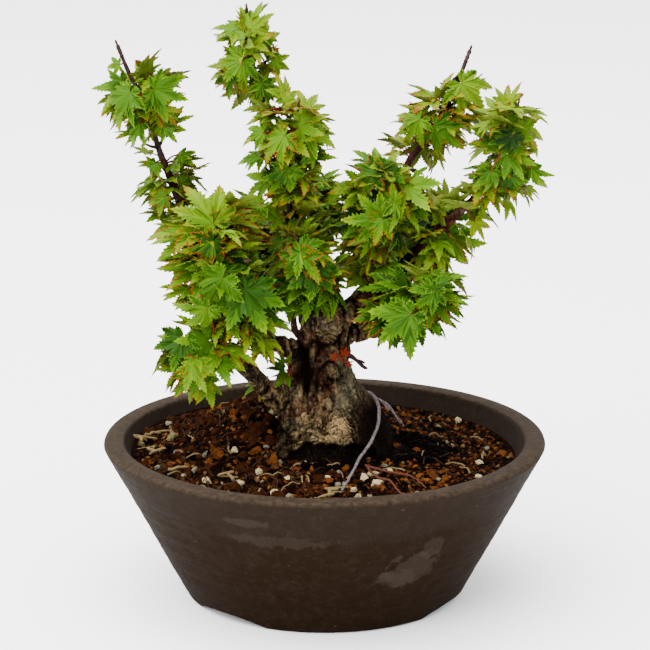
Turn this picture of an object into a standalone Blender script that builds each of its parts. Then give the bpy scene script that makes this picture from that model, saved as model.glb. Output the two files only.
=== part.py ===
"""A shohin bonsai maple in its round stoneware pot: pot, soil, trunk, boughs and masses of foliage.

The tree stands on the pot's axis, which is Z, with the pot's feet on z = 0 and the front
of the tree towards -Y. Lengths are written in millimetres and turned into metres by MM
where a mesh is made.
"""
import math
import random

import bmesh
import bpy
from mathutils import Vector, noise
from mathutils.bvhtree import BVHTree

MM = 0.001
UP = Vector((0.0, 0.0, 1.0))
JOINT_GAP = 0.3
# points closer than this are one, and faces nearer to one plane than this angle are one face
SLIVER = 0.02
FLAT = math.radians(0.3)

# ---- Pot: a wide cone of unglazed stoneware with a flat lip, on three low feet ----
RIM_RADIUS = 75.0
POT_HEIGHT = 54.0
FOOT_RADIUS = 47.0
LIP_WIDTH = 7.0
LIP_ROUND = 1.4
INNER_ROUND = 1.0
WALL_FLARE = (RIM_RADIUS - FOOT_RADIUS) / (POT_HEIGHT - LIP_ROUND)
FLOOR_TOP = 10.0
FOOT_WIDTH = 8.0
FOOT_HEIGHT = 3.2
POT_STEPS = 60
FOOT_GAP_BEARINGS = (-44.0, 63.0, 189.0)
FOOT_GAP_ANGLE = 36.0

# ---- Soil: fills the pot, level at the foot of the trunk and heaped up to its left and behind it ----
SOIL_AT_WALL = 48.6
SOIL_TOP = 51.7
MOUND_RADIUS = 30.0
SOIL_SECTORS = 30
# the level rim round the trunk's foot: its centre and half widths, and the share of the way out of each ring
FOOT_CENTRE = (1.2, -4.0)
FOOT_REACH = (27.0, 26.0)
SOIL_RINGS = (0.0, 0.14, 0.40, 0.70, 1.0)
# heaps of soil: place, half widths, height
SOIL_HEAPS = (
    (-29.0, 6.0, 13.0, 19.0, 7.5),
    (-17.0, 29.0, 20.0, 13.0, 5.0),
    (-48.0, -8.0, 11.0, 17.0, 2.0),
)
SOIL_LUMPS = 1.1
# how far the soil stands up the wall behind and to the left, and the bearing of its middle
WALL_RISE = 2.4
WALL_RISE_BEARING = 150.0

# ---- Trunk: squat, flared at the root, leaning a little left and then upright ----
# height, left edge, right edge, front edge, back edge
TRUNK_SECTIONS = (
    (SOIL_TOP + JOINT_GAP, -20.5, 23.0, -25.0, 17.0),
    (55.0, -18.0, 22.5, -22.5, 16.0),
    (59.6, -14.2, 21.0, -18.5, 14.5),
    (63.0, -13.2, 19.4, -16.0, 13.5),
    (66.7, -12.8, 17.0, -14.0, 12.5),
    (70.0, -13.2, 13.4, -12.6, 11.5),
    (73.7, -13.5, 10.6, -12.0, 10.5),
    (80.1, -11.7, 7.9, -10.5, 9.5),
    (86.0, -9.4, 7.9, -9.0, 8.6),
    (91.3, -7.6, 7.9, -8.0, 8.0),
    (96.5, -6.0, 6.8, -7.0, 7.0),
    (100.0, -4.4, 5.8, -5.0, 5.4),
    (101.6, -2.2, 3.4, -2.6, 3.0),
)
TRUNK_SIDES = 20
ROOT_BEARINGS = (-78.0, -128.0, 176.0, 128.0, 62.0, 14.0, -34.0)
ROOT_SWELL = 0.13
ROOT_REACH = 9.0
# centre and radius of the round swellings of healed wood
BURLS = (
    ("burl_fork", (0.0, -2.2, 95.2), 7.6),
    ("burl_front", (5.4, -15.6, 61.2), 6.0),
    ("burl_low", (-4.5, -13.8, 60.0), 4.9),
    ("burl_left", (-10.0, -9.5, 62.5), 4.2),
    ("burl_right", (12.3, -10.0, 58.0), 5.0),
)

# ---- Limbs: name, what it grows from, route, radius at the base, radius at the tip ----
LIMBS = (
    ("bough_centre", "trunk", ((0.6, 1.0, 98.0), (-3.0, 0.0, 108.0), (-8.0, -2.5, 120.0), (-11.5, -5.0, 133.0)),
     4.4, 2.0),
    ("bough_top", "bough_centre", ((-3.6, 0.0, 109.5), (-8.0, 8.5, 126.0), (-14.0, 15.0, 145.0),
                                   (-18.3, 18.0, 157.0), (-20.0, 18.4, 163.0)), 2.0, 1.0),
    ("bough_left", "trunk", ((-7.0, -4.0, 84.0), (-15.0, -8.5, 88.3), (-21.0, -12.0, 91.7), (-27.0, -17.0, 98.0),
                             (-31.0, -20.0, 104.0)), 3.0, 1.7),
    ("bough_left_arm", "bough_left", ((-19.5, -11.0, 90.8), (-27.0, -5.0, 103.0), (-37.0, 2.0, 118.0),
                                      (-45.0, 6.0, 129.0), (-50.2, 7.0, 138.5), (-54.6, 6.5, 149.5)), 2.1, 1.1),
    ("stub_low_left", "trunk", ((-8.0, -7.0, 64.0), (-17.0, -12.5, 71.5), (-25.0, -18.0, 82.0),
                                (-36.6, -25.0, 94.0)), 3.4, 2.5),
    ("bough_right", "trunk", ((3.5, 0.0, 94.5), (16.0, 0.0, 103.2), (26.0, 0.5, 113.0), (36.6, 0.0, 124.0),
                              (44.0, -3.0, 132.0), (50.2, -5.5, 138.6)), 4.0, 1.1),
    ("bough_right_arm", "bough_right", ((17.5, 0.2, 104.6), (20.0, 9.0, 120.0), (25.0, 17.0, 134.0),
                                        (28.2, 21.0, 144.0), (33.0, 22.5, 150.5)), 2.3, 1.1),
    ("bough_right_centre", "bough_right", ((14.6, 0.0, 102.3), (15.4, -1.0, 109.0), (16.6, -1.2, 115.0)), 2.0, 1.5),
    ("bough_right_low", "trunk", ((3.5, -0.5, 89.6), (12.0, -1.0, 90.9), (20.0, -2.0, 91.3), (26.0, -6.0, 93.4),
                                  (29.0, -11.0, 96.6)), 3.1, 1.6),
    ("stub_right", "bough_right_low", ((19.8, -1.9, 91.3), (20.2, -2.0, 94.5), (20.6, -2.0, 97.2)), 1.7, 1.3),
    ("bough_back_left", "trunk", ((-2.5, 4.0, 89.0), (-7.0, 12.0, 94.0), (-12.0, 20.0, 99.0), (-16.0, 27.0, 104.0)),
     2.7, 1.5),
    ("bough_back_right", "trunk", ((3.0, 4.0, 90.0), (7.0, 12.0, 94.0), (12.0, 21.0, 98.0), (15.0, 28.0, 103.0)),
     2.7, 1.5),
    ("sprout_left", "trunk", ((-5.0, -4.0, 87.0), (-9.6, -5.0, 92.0), (-10.4, -5.0, 98.0), (-9.0, -5.5, 105.0)),
     1.3, 0.9),
    ("dead_spur", "trunk", ((4.0, -4.0, 86.5), (9.6, -6.0, 83.2), (12.8, -6.6, 80.4)), 0.95, 0.55),
)
LIMB_SIDES = 8
THIN_SIDES = 6
THIN_BELOW = 2.2
LIMB_STEP = 6.5
# the silvery root that lies over the soil in front of the trunk
ROOT_ROUTE = ((8.0, 0.5, 68.0), (15.0, 0.0, 69.3), (18.2, -6.0, 66.2), (17.8, -13.5, 61.8), (15.2, -22.5, 58.4),
              (12.0, -28.5, 55.4), (10.1, -34.0, 53.6), (7.8, -42.0, 51.85), (5.6, -50.0, 50.7))
ROOT_RADIUS = 0.65

# ---- Foliage: name, centre, half sizes, what it grows from, route of its stem, leaf length, leaves at most ----
MASSES = (
    ("foliage_left_tip", (-59.8, 4.0, 169.0), (15.6, 14.0, 17.5), "bough_left_arm",
     ((-57.5, 5.5, 159.0), (-60.5, 5.0, 169.0), (-64.8, 6.0, 177.5), (-68.8, 7.0, 187.2)), 13.5, 22),
    ("foliage_left_arm", (-51.0, 7.0, 137.0), (13.0, 12.0, 17.0), "bough_left_arm",
     ((-48.0, 11.0, 130.0), (-52.0, 11.0, 139.0), (-53.5, 10.0, 147.0)), 12.5, 20),
    ("foliage_left", (-33.5, -21.0, 118.5), (23.0, 17.0, 27.0), "bough_left",
     ((-34.0, -21.5, 111.0), (-37.5, -22.0, 123.0), (-37.5, -22.0, 137.0)), 17.5, 38),
    ("foliage_left_low", (-40.0, -29.0, 89.0), (17.5, 15.0, 17.0), "stub_low_left",
     ((-35.5, -29.0, 91.0), (-41.0, -32.0, 95.0), (-48.0, -33.0, 92.0)), 15.5, 20),
    ("foliage_top", (-25.7, 19.5, 181.0), (15.0, 13.0, 18.8), "bough_top",
     ((-22.0, 19.0, 171.0), (-25.0, 19.8, 182.0), (-26.2, 20.0, 197.4)), 12.5, 23),
    ("foliage_centre_tall", (-13.0, -8.0, 154.5), (18.0, 15.0, 23.5), "bough_centre",
     ((-12.5, -7.0, 143.0), (-11.0, -8.0, 156.0), (-8.5, -8.0, 170.0)), 13.5, 28),
    ("foliage_centre", (-8.0, -15.0, 116.5), (21.0, 15.0, 20.0), "sprout_left",
     ((-8.5, -11.0, 109.5), (-7.5, -16.0, 117.0), (-9.0, -17.0, 128.0)), 16.0, 26),
    ("foliage_right_centre", (18.0, -4.0, 131.0), (21.0, 16.0, 23.0), "bough_right_centre",
     ((17.5, -4.0, 124.0), (19.0, -5.0, 136.0), (20.5, -4.0, 148.0)), 15.5, 30),
    ("foliage_right_arm", (42.0, 24.0, 157.0), (17.8, 14.0, 18.0), "bough_right_arm",
     ((37.5, 23.5, 157.0), (43.2, 25.0, 166.9), (49.2, 27.0, 182.2)), 13.0, 21),
    ("foliage_right_tip", (59.5, -8.0, 152.0), (15.0, 14.0, 22.5), "bough_right",
     ((55.5, -7.0, 147.0), (60.0, -8.0, 158.0), (63.5, -8.0, 170.0)), 12.5, 25),
    ("foliage_right", (37.5, 7.0, 119.5), (16.5, 15.0, 21.5), "bough_right",
     ((33.5, 8.0, 117.5), (37.5, 9.0, 126.0), (38.0, 8.0, 135.0)), 15.0, 24),
    ("foliage_right_low", (27.5, -20.0, 104.5), (21.5, 15.0, 15.0), "bough_right_low",
     ((31.0, -16.0, 101.0), (32.0, -20.0, 107.0), (35.0, -22.0, 113.0)), 16.0, 28),
    ("foliage_back_left", (-22.0, 36.0, 113.0), (19.0, 16.0, 18.0), "bough_back_left",
     ((-19.0, 32.0, 111.0), (-22.0, 36.0, 121.0)), 16.0, 18),
    ("foliage_back_right", (20.0, 38.0, 111.0), (18.0, 16.0, 18.0), "bough_back_right",
     ((17.5, 33.5, 110.0), (20.0, 38.0, 120.0)), 16.0, 18),
    ("foliage_back_centre", (-2.0, 24.0, 127.0), (15.0, 13.0, 15.0), "bough_top",
     ((-3.5, 18.0, 128.0), (-1.0, 24.0, 133.0)), 14.0, 14),
)
STEM_RADIUS = 1.1
TIP_RADIUS = 0.5
TWIG_RADIUS = 0.8
NODE_SPACING = 3.9
TWIG_SPREAD = 62.0
TWIG_SHORTEST = 5.0
TWIG_LONGEST = 12.0
SPACE_GAP = 0.8
LIMB_CLEARANCE = 0.5
# shoots whose last length carries no leaves, and where their leaves end along the stem
BARE_TIPS = {"foliage_left_tip": 0.66, "foliage_right_arm": 0.60, "foliage_top": 0.84}
# a leaf's lobes: bearing off the midrib and length against the middle lobe
FIVE_LOBES = ((-95.0, 0.60), (-47.0, 0.90), (0.0, 1.0), (47.0, 0.90), (95.0, 0.60))
THREE_LOBES = ((-68.0, 0.82), (0.0, 1.0), (68.0, 0.82))
SINUS = {5: 0.42, 3: 0.48}
LEAF_THICKNESS = 0.05
LEAF_DROOP = 0.30
LEAF_STALK = (1.8, 6.5)
# how far a leaf's heading is turned down, and its limits, as parts of its own length
LEAF_HANG = (0.1, 0.85)
LEAF_LOWEST = -0.9
LEAF_HIGHEST = 0.4
LEAF_TRIES = 45
LEAF_SLACK = 1.25
# one for each mass, in their order
SEEDS = (16, 19, 16, 21, 21, 10, 19, 7, 15, 14, 10, 6, 3, 3, 8)


# ---------------------------------------------------------------- meshes and objects

def clear_scene():
    for old in list(bpy.data.objects):
        bpy.data.objects.remove(old, do_unlink=True)


def new_collection(name):
    collection = bpy.data.collections.new(name)
    bpy.context.scene.collection.children.link(collection)
    return collection


def new_material(name, colour, roughness, metallic=0.0):
    material = bpy.data.materials.new(name)
    material.use_nodes = True
    shader = material.node_tree.nodes["Principled BSDF"]
    shader.inputs["Base Color"].default_value = (*colour, 1.0)
    shader.inputs["Roughness"].default_value = roughness
    shader.inputs["Metallic"].default_value = metallic
    return material


def new_object(name, verts, faces, origin, material, collection):
    """A mesh object standing at its origin, from points in millimetres."""
    origin = Vector(origin)
    mesh = bpy.data.meshes.new(name)
    mesh.from_pydata([(Vector(v) - origin) * MM for v in verts], [], faces)
    mesh.update()
    obj = bpy.data.objects.new(name, mesh)
    obj.location = origin * MM
    mesh.materials.append(material)
    collection.objects.link(obj)
    return obj


def shade_round(obj, angle=40.0):
    obj.data.shade_smooth()
    obj.data.set_sharp_from_angle(angle=math.radians(angle))


def evaluated_mesh(obj):
    bpy.context.view_layer.update()
    depsgraph = bpy.context.evaluated_depsgraph_get()
    return bpy.data.meshes.new_from_object(obj.evaluated_get(depsgraph))


def outer_body(mesh):
    """Leave only the largest closed body, without loose scraps, sealed hollows or slivers."""
    bm = bmesh.new()
    bm.from_mesh(mesh)
    bmesh.ops.remove_doubles(bm, verts=bm.verts, dist=SLIVER * MM)
    bmesh.ops.dissolve_degenerate(bm, edges=bm.edges, dist=SLIVER * MM)
    todo = set(bm.faces)
    bodies = []
    while todo:
        seed = todo.pop()
        body = {seed}
        front = [seed]
        while front:
            for edge in front.pop().edges:
                for face in edge.link_faces if len(edge.link_faces) == 2 else ():
                    if face in todo:
                        todo.discard(face)
                        body.add(face)
                        front.append(face)
        bodies.append(body)
    bodies.sort(key=len, reverse=True)
    for body in bodies[1:]:
        bmesh.ops.delete(bm, geom=list(body), context="FACES")
    bmesh.ops.dissolve_limit(bm, angle_limit=FLAT, verts=bm.verts, edges=bm.edges)
    bmesh.ops.triangulate(bm, faces=bm.faces, quad_method="BEAUTY", ngon_method="BEAUTY")
    bm.to_mesh(mesh)
    bm.free()


def union_all(obj, helpers, solver="EXACT"):
    """Fuse a collection of closed solids into an object and remove them."""
    union = obj.modifiers.new("fused", "BOOLEAN")
    union.operation = "UNION"
    union.operand_type = "COLLECTION"
    union.collection = helpers
    union.solver = solver
    mesh = evaluated_mesh(obj)
    obj.modifiers.remove(union)
    outer_body(mesh)
    obj.data = mesh
    for helper in list(helpers.objects):
        bpy.data.objects.remove(helper, do_unlink=True)
    bpy.data.collections.remove(helpers)


def cut_away(obj, cutter):
    """Take one closed solid away from another and remove the cutter."""
    cut = obj.modifiers.new("cut", "BOOLEAN")
    cut.operation = "DIFFERENCE"
    cut.object = cutter
    mesh = evaluated_mesh(obj)
    obj.modifiers.remove(cut)
    outer_body(mesh)
    obj.data = mesh
    bpy.data.objects.remove(cutter, do_unlink=True)


# ---------------------------------------------------------------- curves and lofts

def smooth_route(points, step):
    """Points about one step apart along a smooth curve through the given ones."""
    pts = [Vector(p) for p in points]
    ends = [pts[0] * 2 - pts[1]] + pts + [pts[-1] * 2 - pts[-2]]
    route = []
    for i in range(1, len(ends) - 2):
        p0, p1, p2, p3 = ends[i - 1:i + 3]
        count = max(1, round((p2 - p1).length / step))
        for k in range(count):
            t = k / count
            route.append(0.5 * (2 * p1 + (p2 - p0) * t + (2 * p0 - 5 * p1 + 4 * p2 - p3) * t * t
                                + (3 * p1 - p0 - 3 * p2 + p3) * t ** 3))
    route.append(pts[-1])
    return route


def tangents(route):
    last = len(route) - 1
    return [(route[min(i + 1, last)] - route[max(i - 1, 0)]).normalized() for i in range(last + 1)]


def across(direction, hint=UP):
    """Two unit vectors square to a direction and to each other."""
    side = direction.cross(hint)
    if side.length < 0.05:
        side = direction.cross(Vector((0.0, 1.0, 0.0)))
    side.normalize()
    return side, side.cross(direction).normalized()


def tube(route, radii, sides):
    """Rings round a route, closed with a flat cap at each end."""
    verts = []
    side, lift = across((route[1] - route[0]).normalized())
    for point, tangent, radius in zip(route, tangents(route), radii):
        side = (side - tangent * side.dot(tangent)).normalized()
        lift = side.cross(tangent).normalized()
        for k in range(sides):
            angle = 2 * math.pi * k / sides
            verts.append(point + (side * math.cos(angle) + lift * math.sin(angle)) * radius)
    return verts, loft_faces(len(route), sides)


def loft_faces(rings, sides):
    faces = [tuple(range(sides))]
    for i in range(rings - 1):
        for k in range(sides):
            a = i * sides + k
            b = i * sides + (k + 1) % sides
            faces.append((b, a, a + sides, b + sides))
    top = (rings - 1) * sides
    faces.append(tuple(top + k for k in reversed(range(sides))))
    return faces


def taper(count, first, last):
    return [first + (last - first) * (i / (count - 1)) ** 0.85 for i in range(count)]


def facing_out(obj):
    """Turn a closed mesh's faces outwards, told by the sign of its volume."""
    bm = bmesh.new()
    bm.from_mesh(obj.data)
    if bm.calc_volume(signed=True) < 0.0:
        bmesh.ops.reverse_faces(bm, faces=bm.faces)
    bm.to_mesh(obj.data)
    bm.free()


# ---------------------------------------------------------------- pot and soil

def wall_radius(z):
    """Outer radius of the pot's conical wall at a height."""
    return FOOT_RADIUS + WALL_FLARE * z


def inner_radius(z):
    """Radius of the wall's inner face, which runs up to the inner edge of the lip."""
    return RIM_RADIUS - LIP_WIDTH - WALL_FLARE * (POT_HEIGHT - INNER_ROUND - z)


def arc(centre_r, centre_z, radius, start, end, count):
    """Points of a profile along an arc, angles in degrees."""
    points = []
    for i in range(count):
        angle = math.radians(start + (end - start) * i / (count - 1))
        points.append((centre_r + radius * math.cos(angle), centre_z + radius * math.sin(angle)))
    return points


def turned(name, profile, steps, material, collection):
    """A profile of radius and height, listed down its outer side, turned about Z."""
    verts = [(r * MM, 0.0, z * MM) for r, z in profile]
    mesh = bpy.data.meshes.new(name)
    mesh.from_pydata(verts, [(i, i + 1) for i in range(len(verts) - 1)], [])
    mesh.materials.append(material)
    obj = bpy.data.objects.new(name, mesh)
    collection.objects.link(obj)
    screw = obj.modifiers.new("turned", "SCREW")
    screw.steps = steps
    screw.render_steps = steps
    screw.use_merge_vertices = True
    screw.merge_threshold = 0.00001
    screw.use_smooth_shade = True
    return obj


def make_pot(collection, cutters, material):
    inner_lip = RIM_RADIUS - LIP_WIDTH
    profile = [(0.0, FLOOR_TOP), (inner_radius(FLOOR_TOP) - 3.0, FLOOR_TOP),
               (inner_radius(FLOOR_TOP + 3.0), FLOOR_TOP + 3.0)]
    profile += arc(inner_lip + INNER_ROUND, POT_HEIGHT - INNER_ROUND, INNER_ROUND, 180.0, 90.0, 3)
    profile += arc(RIM_RADIUS - LIP_ROUND, POT_HEIGHT - LIP_ROUND, LIP_ROUND, 90.0, 0.0, 4)
    profile += [(wall_radius(1.2), 1.2), (FOOT_RADIUS - 0.6, 0.0), (FOOT_RADIUS - FOOT_WIDTH, 0.0),
                (FOOT_RADIUS - FOOT_WIDTH - 1.0, FOOT_HEIGHT), (0.0, FOOT_HEIGHT)]
    pot = turned("pot", profile, POT_STEPS, material, collection)
    half_chord = FOOT_RADIUS * math.sin(math.radians(FOOT_GAP_ANGLE / 2))
    radius = (half_chord ** 2 + FOOT_HEIGHT ** 2) / (2 * FOOT_HEIGHT)
    for number, bearing in enumerate(FOOT_GAP_BEARINGS, start=1):
        turn = math.radians(bearing - 90.0)
        middle = FOOT_RADIUS - FOOT_WIDTH / 2
        place = Vector((math.cos(turn) * middle, math.sin(turn) * middle, FOOT_HEIGHT - radius - 0.02)) * MM
        bpy.ops.mesh.primitive_cylinder_add(vertices=64, radius=radius * MM, depth=(FOOT_WIDTH + 8.0) * MM,
                                            location=place, rotation=(math.pi / 2, 0.0, turn + math.pi / 2))
        cutter = bpy.context.object
        cutter.name = f"foot_gap_{number}"
        cutter.display_type = "WIRE"
        cutter.hide_render = True
        for home in list(cutter.users_collection):
            home.objects.unlink(cutter)
        cutters.objects.link(cutter)
        gap = pot.modifiers.new(cutter.name, "BOOLEAN")
        gap.operation = "DIFFERENCE"
        gap.object = cutter
    return pot


def soil_height(x, y):
    """The top of the soil: a low mound, its heaps, and lumps that fade towards the surface root."""
    radius = math.hypot(x, y)
    t = max(0.0, min(1.0, (radius - MOUND_RADIUS) / (inner_radius(SOIL_AT_WALL) - MOUND_RADIUS)))
    height = SOIL_TOP - (SOIL_TOP - SOIL_AT_WALL) * (1 - math.cos(math.pi * t)) / 2
    for heap_x, heap_y, wide, deep, rise in SOIL_HEAPS:
        height += rise * math.exp(-((x - heap_x) / wide) ** 2 - ((y - heap_y) / deep) ** 2)
    quiet = math.exp(-((x - 8.0) / 12.0) ** 2) if y < -20.0 else 0.0
    return height + SOIL_LUMPS * noise.noise(Vector((x * 0.09, y * 0.09, 2.0))) * (1.0 - quiet)


def make_soil(collection, material):
    """Rings of points from the trunk's foot out to the wall, and down the wall to the bed."""
    gap = JOINT_GAP / math.cos(math.atan(WALL_FLARE))
    rings = []
    for share in SOIL_RINGS:
        ring = []
        for k in range(SOIL_SECTORS):
            angle = 2 * math.pi * k / SOIL_SECTORS
            behind = max(0.0, math.cos(angle - math.radians(WALL_RISE_BEARING)))
            edge_height = SOIL_AT_WALL + WALL_RISE * behind ** 2
            edge = inner_radius(edge_height) - gap
            x = FOOT_CENTRE[0] * (1 - share) + math.cos(angle) * (FOOT_REACH[0] * (1 - share) + edge * share)
            y = FOOT_CENTRE[1] * (1 - share) + math.sin(angle) * (FOOT_REACH[1] * (1 - share) + edge * share)
            z = SOIL_TOP if share == 0.0 else edge_height if share == 1.0 else soil_height(x, y)
            ring.append((x, y, z))
        rings.append(ring)
    for radius, z in ((inner_radius(FLOOR_TOP + 3.0) - gap, FLOOR_TOP + 3.0),
                      (inner_radius(FLOOR_TOP) - 3.0 - gap, FLOOR_TOP + JOINT_GAP)):
        rings.append([(radius * math.cos(2 * math.pi * k / SOIL_SECTORS),
                       radius * math.sin(2 * math.pi * k / SOIL_SECTORS), z) for k in range(SOIL_SECTORS)])
    verts = [point for ring in rings for point in ring]
    soil = new_object("soil", verts, loft_faces(len(rings), SOIL_SECTORS), (0.0, 0.0, 0.0), material, collection)
    bm = bmesh.new()
    bm.from_mesh(soil.data)
    bmesh.ops.triangulate(bm, faces=bm.faces)
    bm.to_mesh(soil.data)
    bm.free()
    facing_out(soil)
    return soil


# ---------------------------------------------------------------- trunk and limbs

def trunk_swell(angle, z):
    """How far the root lobes push the trunk out at a bearing and height."""
    fade = math.exp(-(z - SOIL_TOP) / ROOT_REACH)
    swell = 0.0
    for bearing in ROOT_BEARINGS:
        swell += max(0.0, math.cos(angle - math.radians(bearing))) ** 24
    return 1.0 + fade * (ROOT_SWELL * swell - 0.05)


def trunk_solid():
    verts = []
    for z, left, right, front, back in TRUNK_SECTIONS:
        for k in range(TRUNK_SIDES):
            angle = 2 * math.pi * k / TRUNK_SIDES
            x = math.cos(angle)
            y = math.sin(angle)
            reach = trunk_swell(angle, z)
            across_x = x * (right - left) / 2 * reach + (right + left) / 2
            across_y = y * (back - front) / 2 * reach + (back + front) / 2
            verts.append(Vector((across_x, across_y, z)))
    faces = loft_faces(len(TRUNK_SECTIONS), TRUNK_SIDES)
    return verts, [tuple(reversed(face)) for face in faces]


def limb_route(points, lengths):
    """The limb's smooth route and the radius at each of its points."""
    route = smooth_route(points, LIMB_STEP)
    return route, taper(len(route), lengths[0], lengths[1])


def trimmed(route, radii, start):
    """Drop the first part of a route, up to a distance along it."""
    walked = 0.0
    for i in range(len(route) - 1):
        length = (route[i + 1] - route[i]).length
        if walked + length > start:
            t = (start - walked) / length
            first = route[i].lerp(route[i + 1], t)
            radius = radii[i] + (radii[i + 1] - radii[i]) * t
            keep = i + 2 if (route[i + 1] - first).length < 0.8 else i + 1
            return [first] + route[keep:], [radius] + radii[keep:]
        walked += length
    return route, radii


def distance_out(route, tree):
    """How far along a route it leaves a closed solid."""
    origin = route[-1]
    walked = sum((b - a).length for a, b in zip(route, route[1:]))
    for i in range(len(route) - 1, 0, -1):
        step = route[i - 1] - origin
        hit = tree.ray_cast(origin, step.normalized(), step.length)
        if hit[0] is not None:
            return walked - hit[3]
        walked -= step.length
        origin = route[i - 1]
    return 0.0


def make_trunk(collection, material, limbs):
    """The trunk, its burls and the short collars from which its boughs grow."""
    verts, faces = trunk_solid()
    base = Vector((0.0, 0.0, SOIL_TOP + JOINT_GAP))
    trunk = new_object("trunk", verts, faces, base, material, collection)
    facing_out(trunk)
    stem_tree = BVHTree.FromPolygons(verts, faces)
    helpers = new_collection("trunk_parts")
    for name, centre, radius in BURLS:
        bm = bmesh.new()
        bmesh.ops.create_icosphere(bm, subdivisions=2, radius=radius * MM)
        mesh = bpy.data.meshes.new(name)
        bm.to_mesh(mesh)
        bm.free()
        burl = bpy.data.objects.new(name, mesh)
        burl.location = Vector(centre) * MM
        helpers.objects.link(burl)
    collars = {}
    for name, parent, points, base_radius, tip_radius in LIMBS:
        if parent != "trunk":
            continue
        route, radii = limbs[name]
        collar = distance_out(route, stem_tree) + base_radius * 0.9 + 0.6
        collars[name] = collar
        rest, rest_radii = trimmed(route, radii, collar)
        short = [p for p in route if (p - route[0]).length < (rest[0] - route[0]).length - 0.8]
        short_radii = [radius * 1.12 for radius in radii[:len(short)]]
        short.append(rest[0])
        short_radii.append(rest_radii[0])
        collar_verts, collar_faces = tube(short, short_radii, LIMB_SIDES)
        piece = new_object(name + "_collar", collar_verts, collar_faces, route[0], material, helpers)
        facing_out(piece)
    union_all(trunk, helpers)
    shade_round(trunk)
    return trunk, collars


def make_limb(name, route, radii, material, collection):
    verts, faces = tube(route, radii, LIMB_SIDES if radii[0] > THIN_BELOW else THIN_SIDES)
    limb = new_object(name, verts, faces, route[0], material, collection)
    facing_out(limb)
    shade_round(limb)
    return limb


# ---------------------------------------------------------------- foliage

def leaf_solid(root, stalk, axis, normal, length, droop, lobes):
    """A lobed leaf on its stalk: a star-shaped blade, ridged at its palm, its lobes bent down."""
    side = normal.cross(axis).normalized()
    sinus = SINUS[len(lobes)]
    palm = root + axis * stalk

    def blade_point(bearing, reach):
        angle = math.radians(bearing)
        flat = axis * math.cos(angle) + side * math.sin(angle)
        return palm + (flat - normal * droop) * reach * length

    outline = [root, palm - side * 0.07 * length - axis * 0.10 * length]
    tips = []
    for i, (bearing, reach) in enumerate(lobes):
        if i:
            outline.append(blade_point((bearing + lobes[i - 1][0]) / 2, sinus))
        tips.append(len(outline))
        outline.append(blade_point(bearing, reach))
    outline.append(palm + side * 0.07 * length - axis * 0.10 * length)
    count = len(outline)
    verts = outline + [palm + normal * LEAF_THICKNESS * length]
    faces = [(k, (k + 1) % count, count) for k in range(count)]
    faces += [(k + 1, k, k - 1) for k in tips]
    hub = [k for k in range(1, count) if k not in tips]
    faces.append((hub[0], 0, hub[-1]))
    faces += [(hub[0], hub[k + 1], hub[k]) for k in range(1, len(hub) - 1)]
    return verts, faces


class Space:
    """The room one mass of foliage keeps to, between its neighbours."""

    def __init__(self, index):
        self.centre = Vector(MASSES[index][1])
        self.half = Vector(MASSES[index][2])
        self.walls = []
        size = sum(self.half) / 3
        for other in range(len(MASSES)):
            if other == index:
                continue
            away = Vector(MASSES[other][1]) - self.centre
            other_size = sum(MASSES[other][2]) / 3
            distance = away.length
            if distance > size + other_size + 30.0:
                continue
            reach = (distance ** 2 + size ** 2 - other_size ** 2) / (2 * distance)
            self.walls.append((away / distance, reach - SPACE_GAP / 2))

    def holds(self, point, slack=1.0):
        offset = point - self.centre
        if sum((offset[i] / self.half[i]) ** 2 for i in range(3)) > slack:
            return False
        if abs(point.x) > RIM_RADIUS - 0.5 or abs(point.y) > RIM_RADIUS - 0.5:
            return False
        return self.between_walls(point)

    def between_walls(self, point):
        offset = point - self.centre
        return all(offset.dot(direction) < reach for direction, reach in self.walls)

    def room(self, point, direction):
        """How far a point can go in a direction before it leaves the space."""
        far = 0.0
        while far < 40.0 and self.holds(point + direction * (far + 1.0)):
            far += 1.0
        return far


def clear_of(verts, faces, tree):
    return not BVHTree.FromPolygons(verts, faces).overlap(tree)


def grow_twigs(space, stem, rng, limb_tree):
    """Side twigs in opposite pairs at every third node of a stem, each pair a quarter turn on."""
    twigs = []
    total = sum((b - a).length for a, b in zip(stem, stem[1:]))
    count = max(1, round(total / (NODE_SPACING * 2.6)))
    start_turn = rng.uniform(0.0, math.pi)
    for k in range(count):
        point, direction = along(stem, (k + 0.3) / count)
        side, lift = across(direction)
        for pair in range(2):
            turn = start_turn + k * math.pi / 2 + pair * math.pi + rng.uniform(-0.35, 0.35)
            spread = math.radians(TWIG_SPREAD + rng.uniform(-10.0, 10.0))
            outward = side * math.cos(turn) + lift * math.sin(turn)
            heading = (direction * math.cos(spread) + outward * math.sin(spread) + UP * 0.12).normalized()
            reach = min(TWIG_LONGEST, space.room(point, heading) * rng.uniform(0.42, 0.55))
            if reach < TWIG_SHORTEST:
                continue
            bend = (heading + UP * 0.25).normalized()
            middle = point + heading * reach * 0.55
            route = [point, middle, middle + bend * reach * 0.45]
            verts, faces = tube(route[1:], [TWIG_RADIUS * 0.8, TIP_RADIUS], 3)
            if clear_of(verts, faces, limb_tree) and all(space.between_walls(v) for v in verts):
                twigs.append(route)
    return twigs


def along(route, share):
    """The point and heading at a share of a route's length."""
    lengths = [(b - a).length for a, b in zip(route, route[1:])]
    left = share * sum(lengths)
    for i, length in enumerate(lengths):
        if left <= length or i == len(lengths) - 1:
            heading = (route[i + 1] - route[i]).normalized()
            return route[i] + heading * min(left, length), heading
        left -= length
    return route[-1], (route[-1] - route[-2]).normalized()


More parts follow.
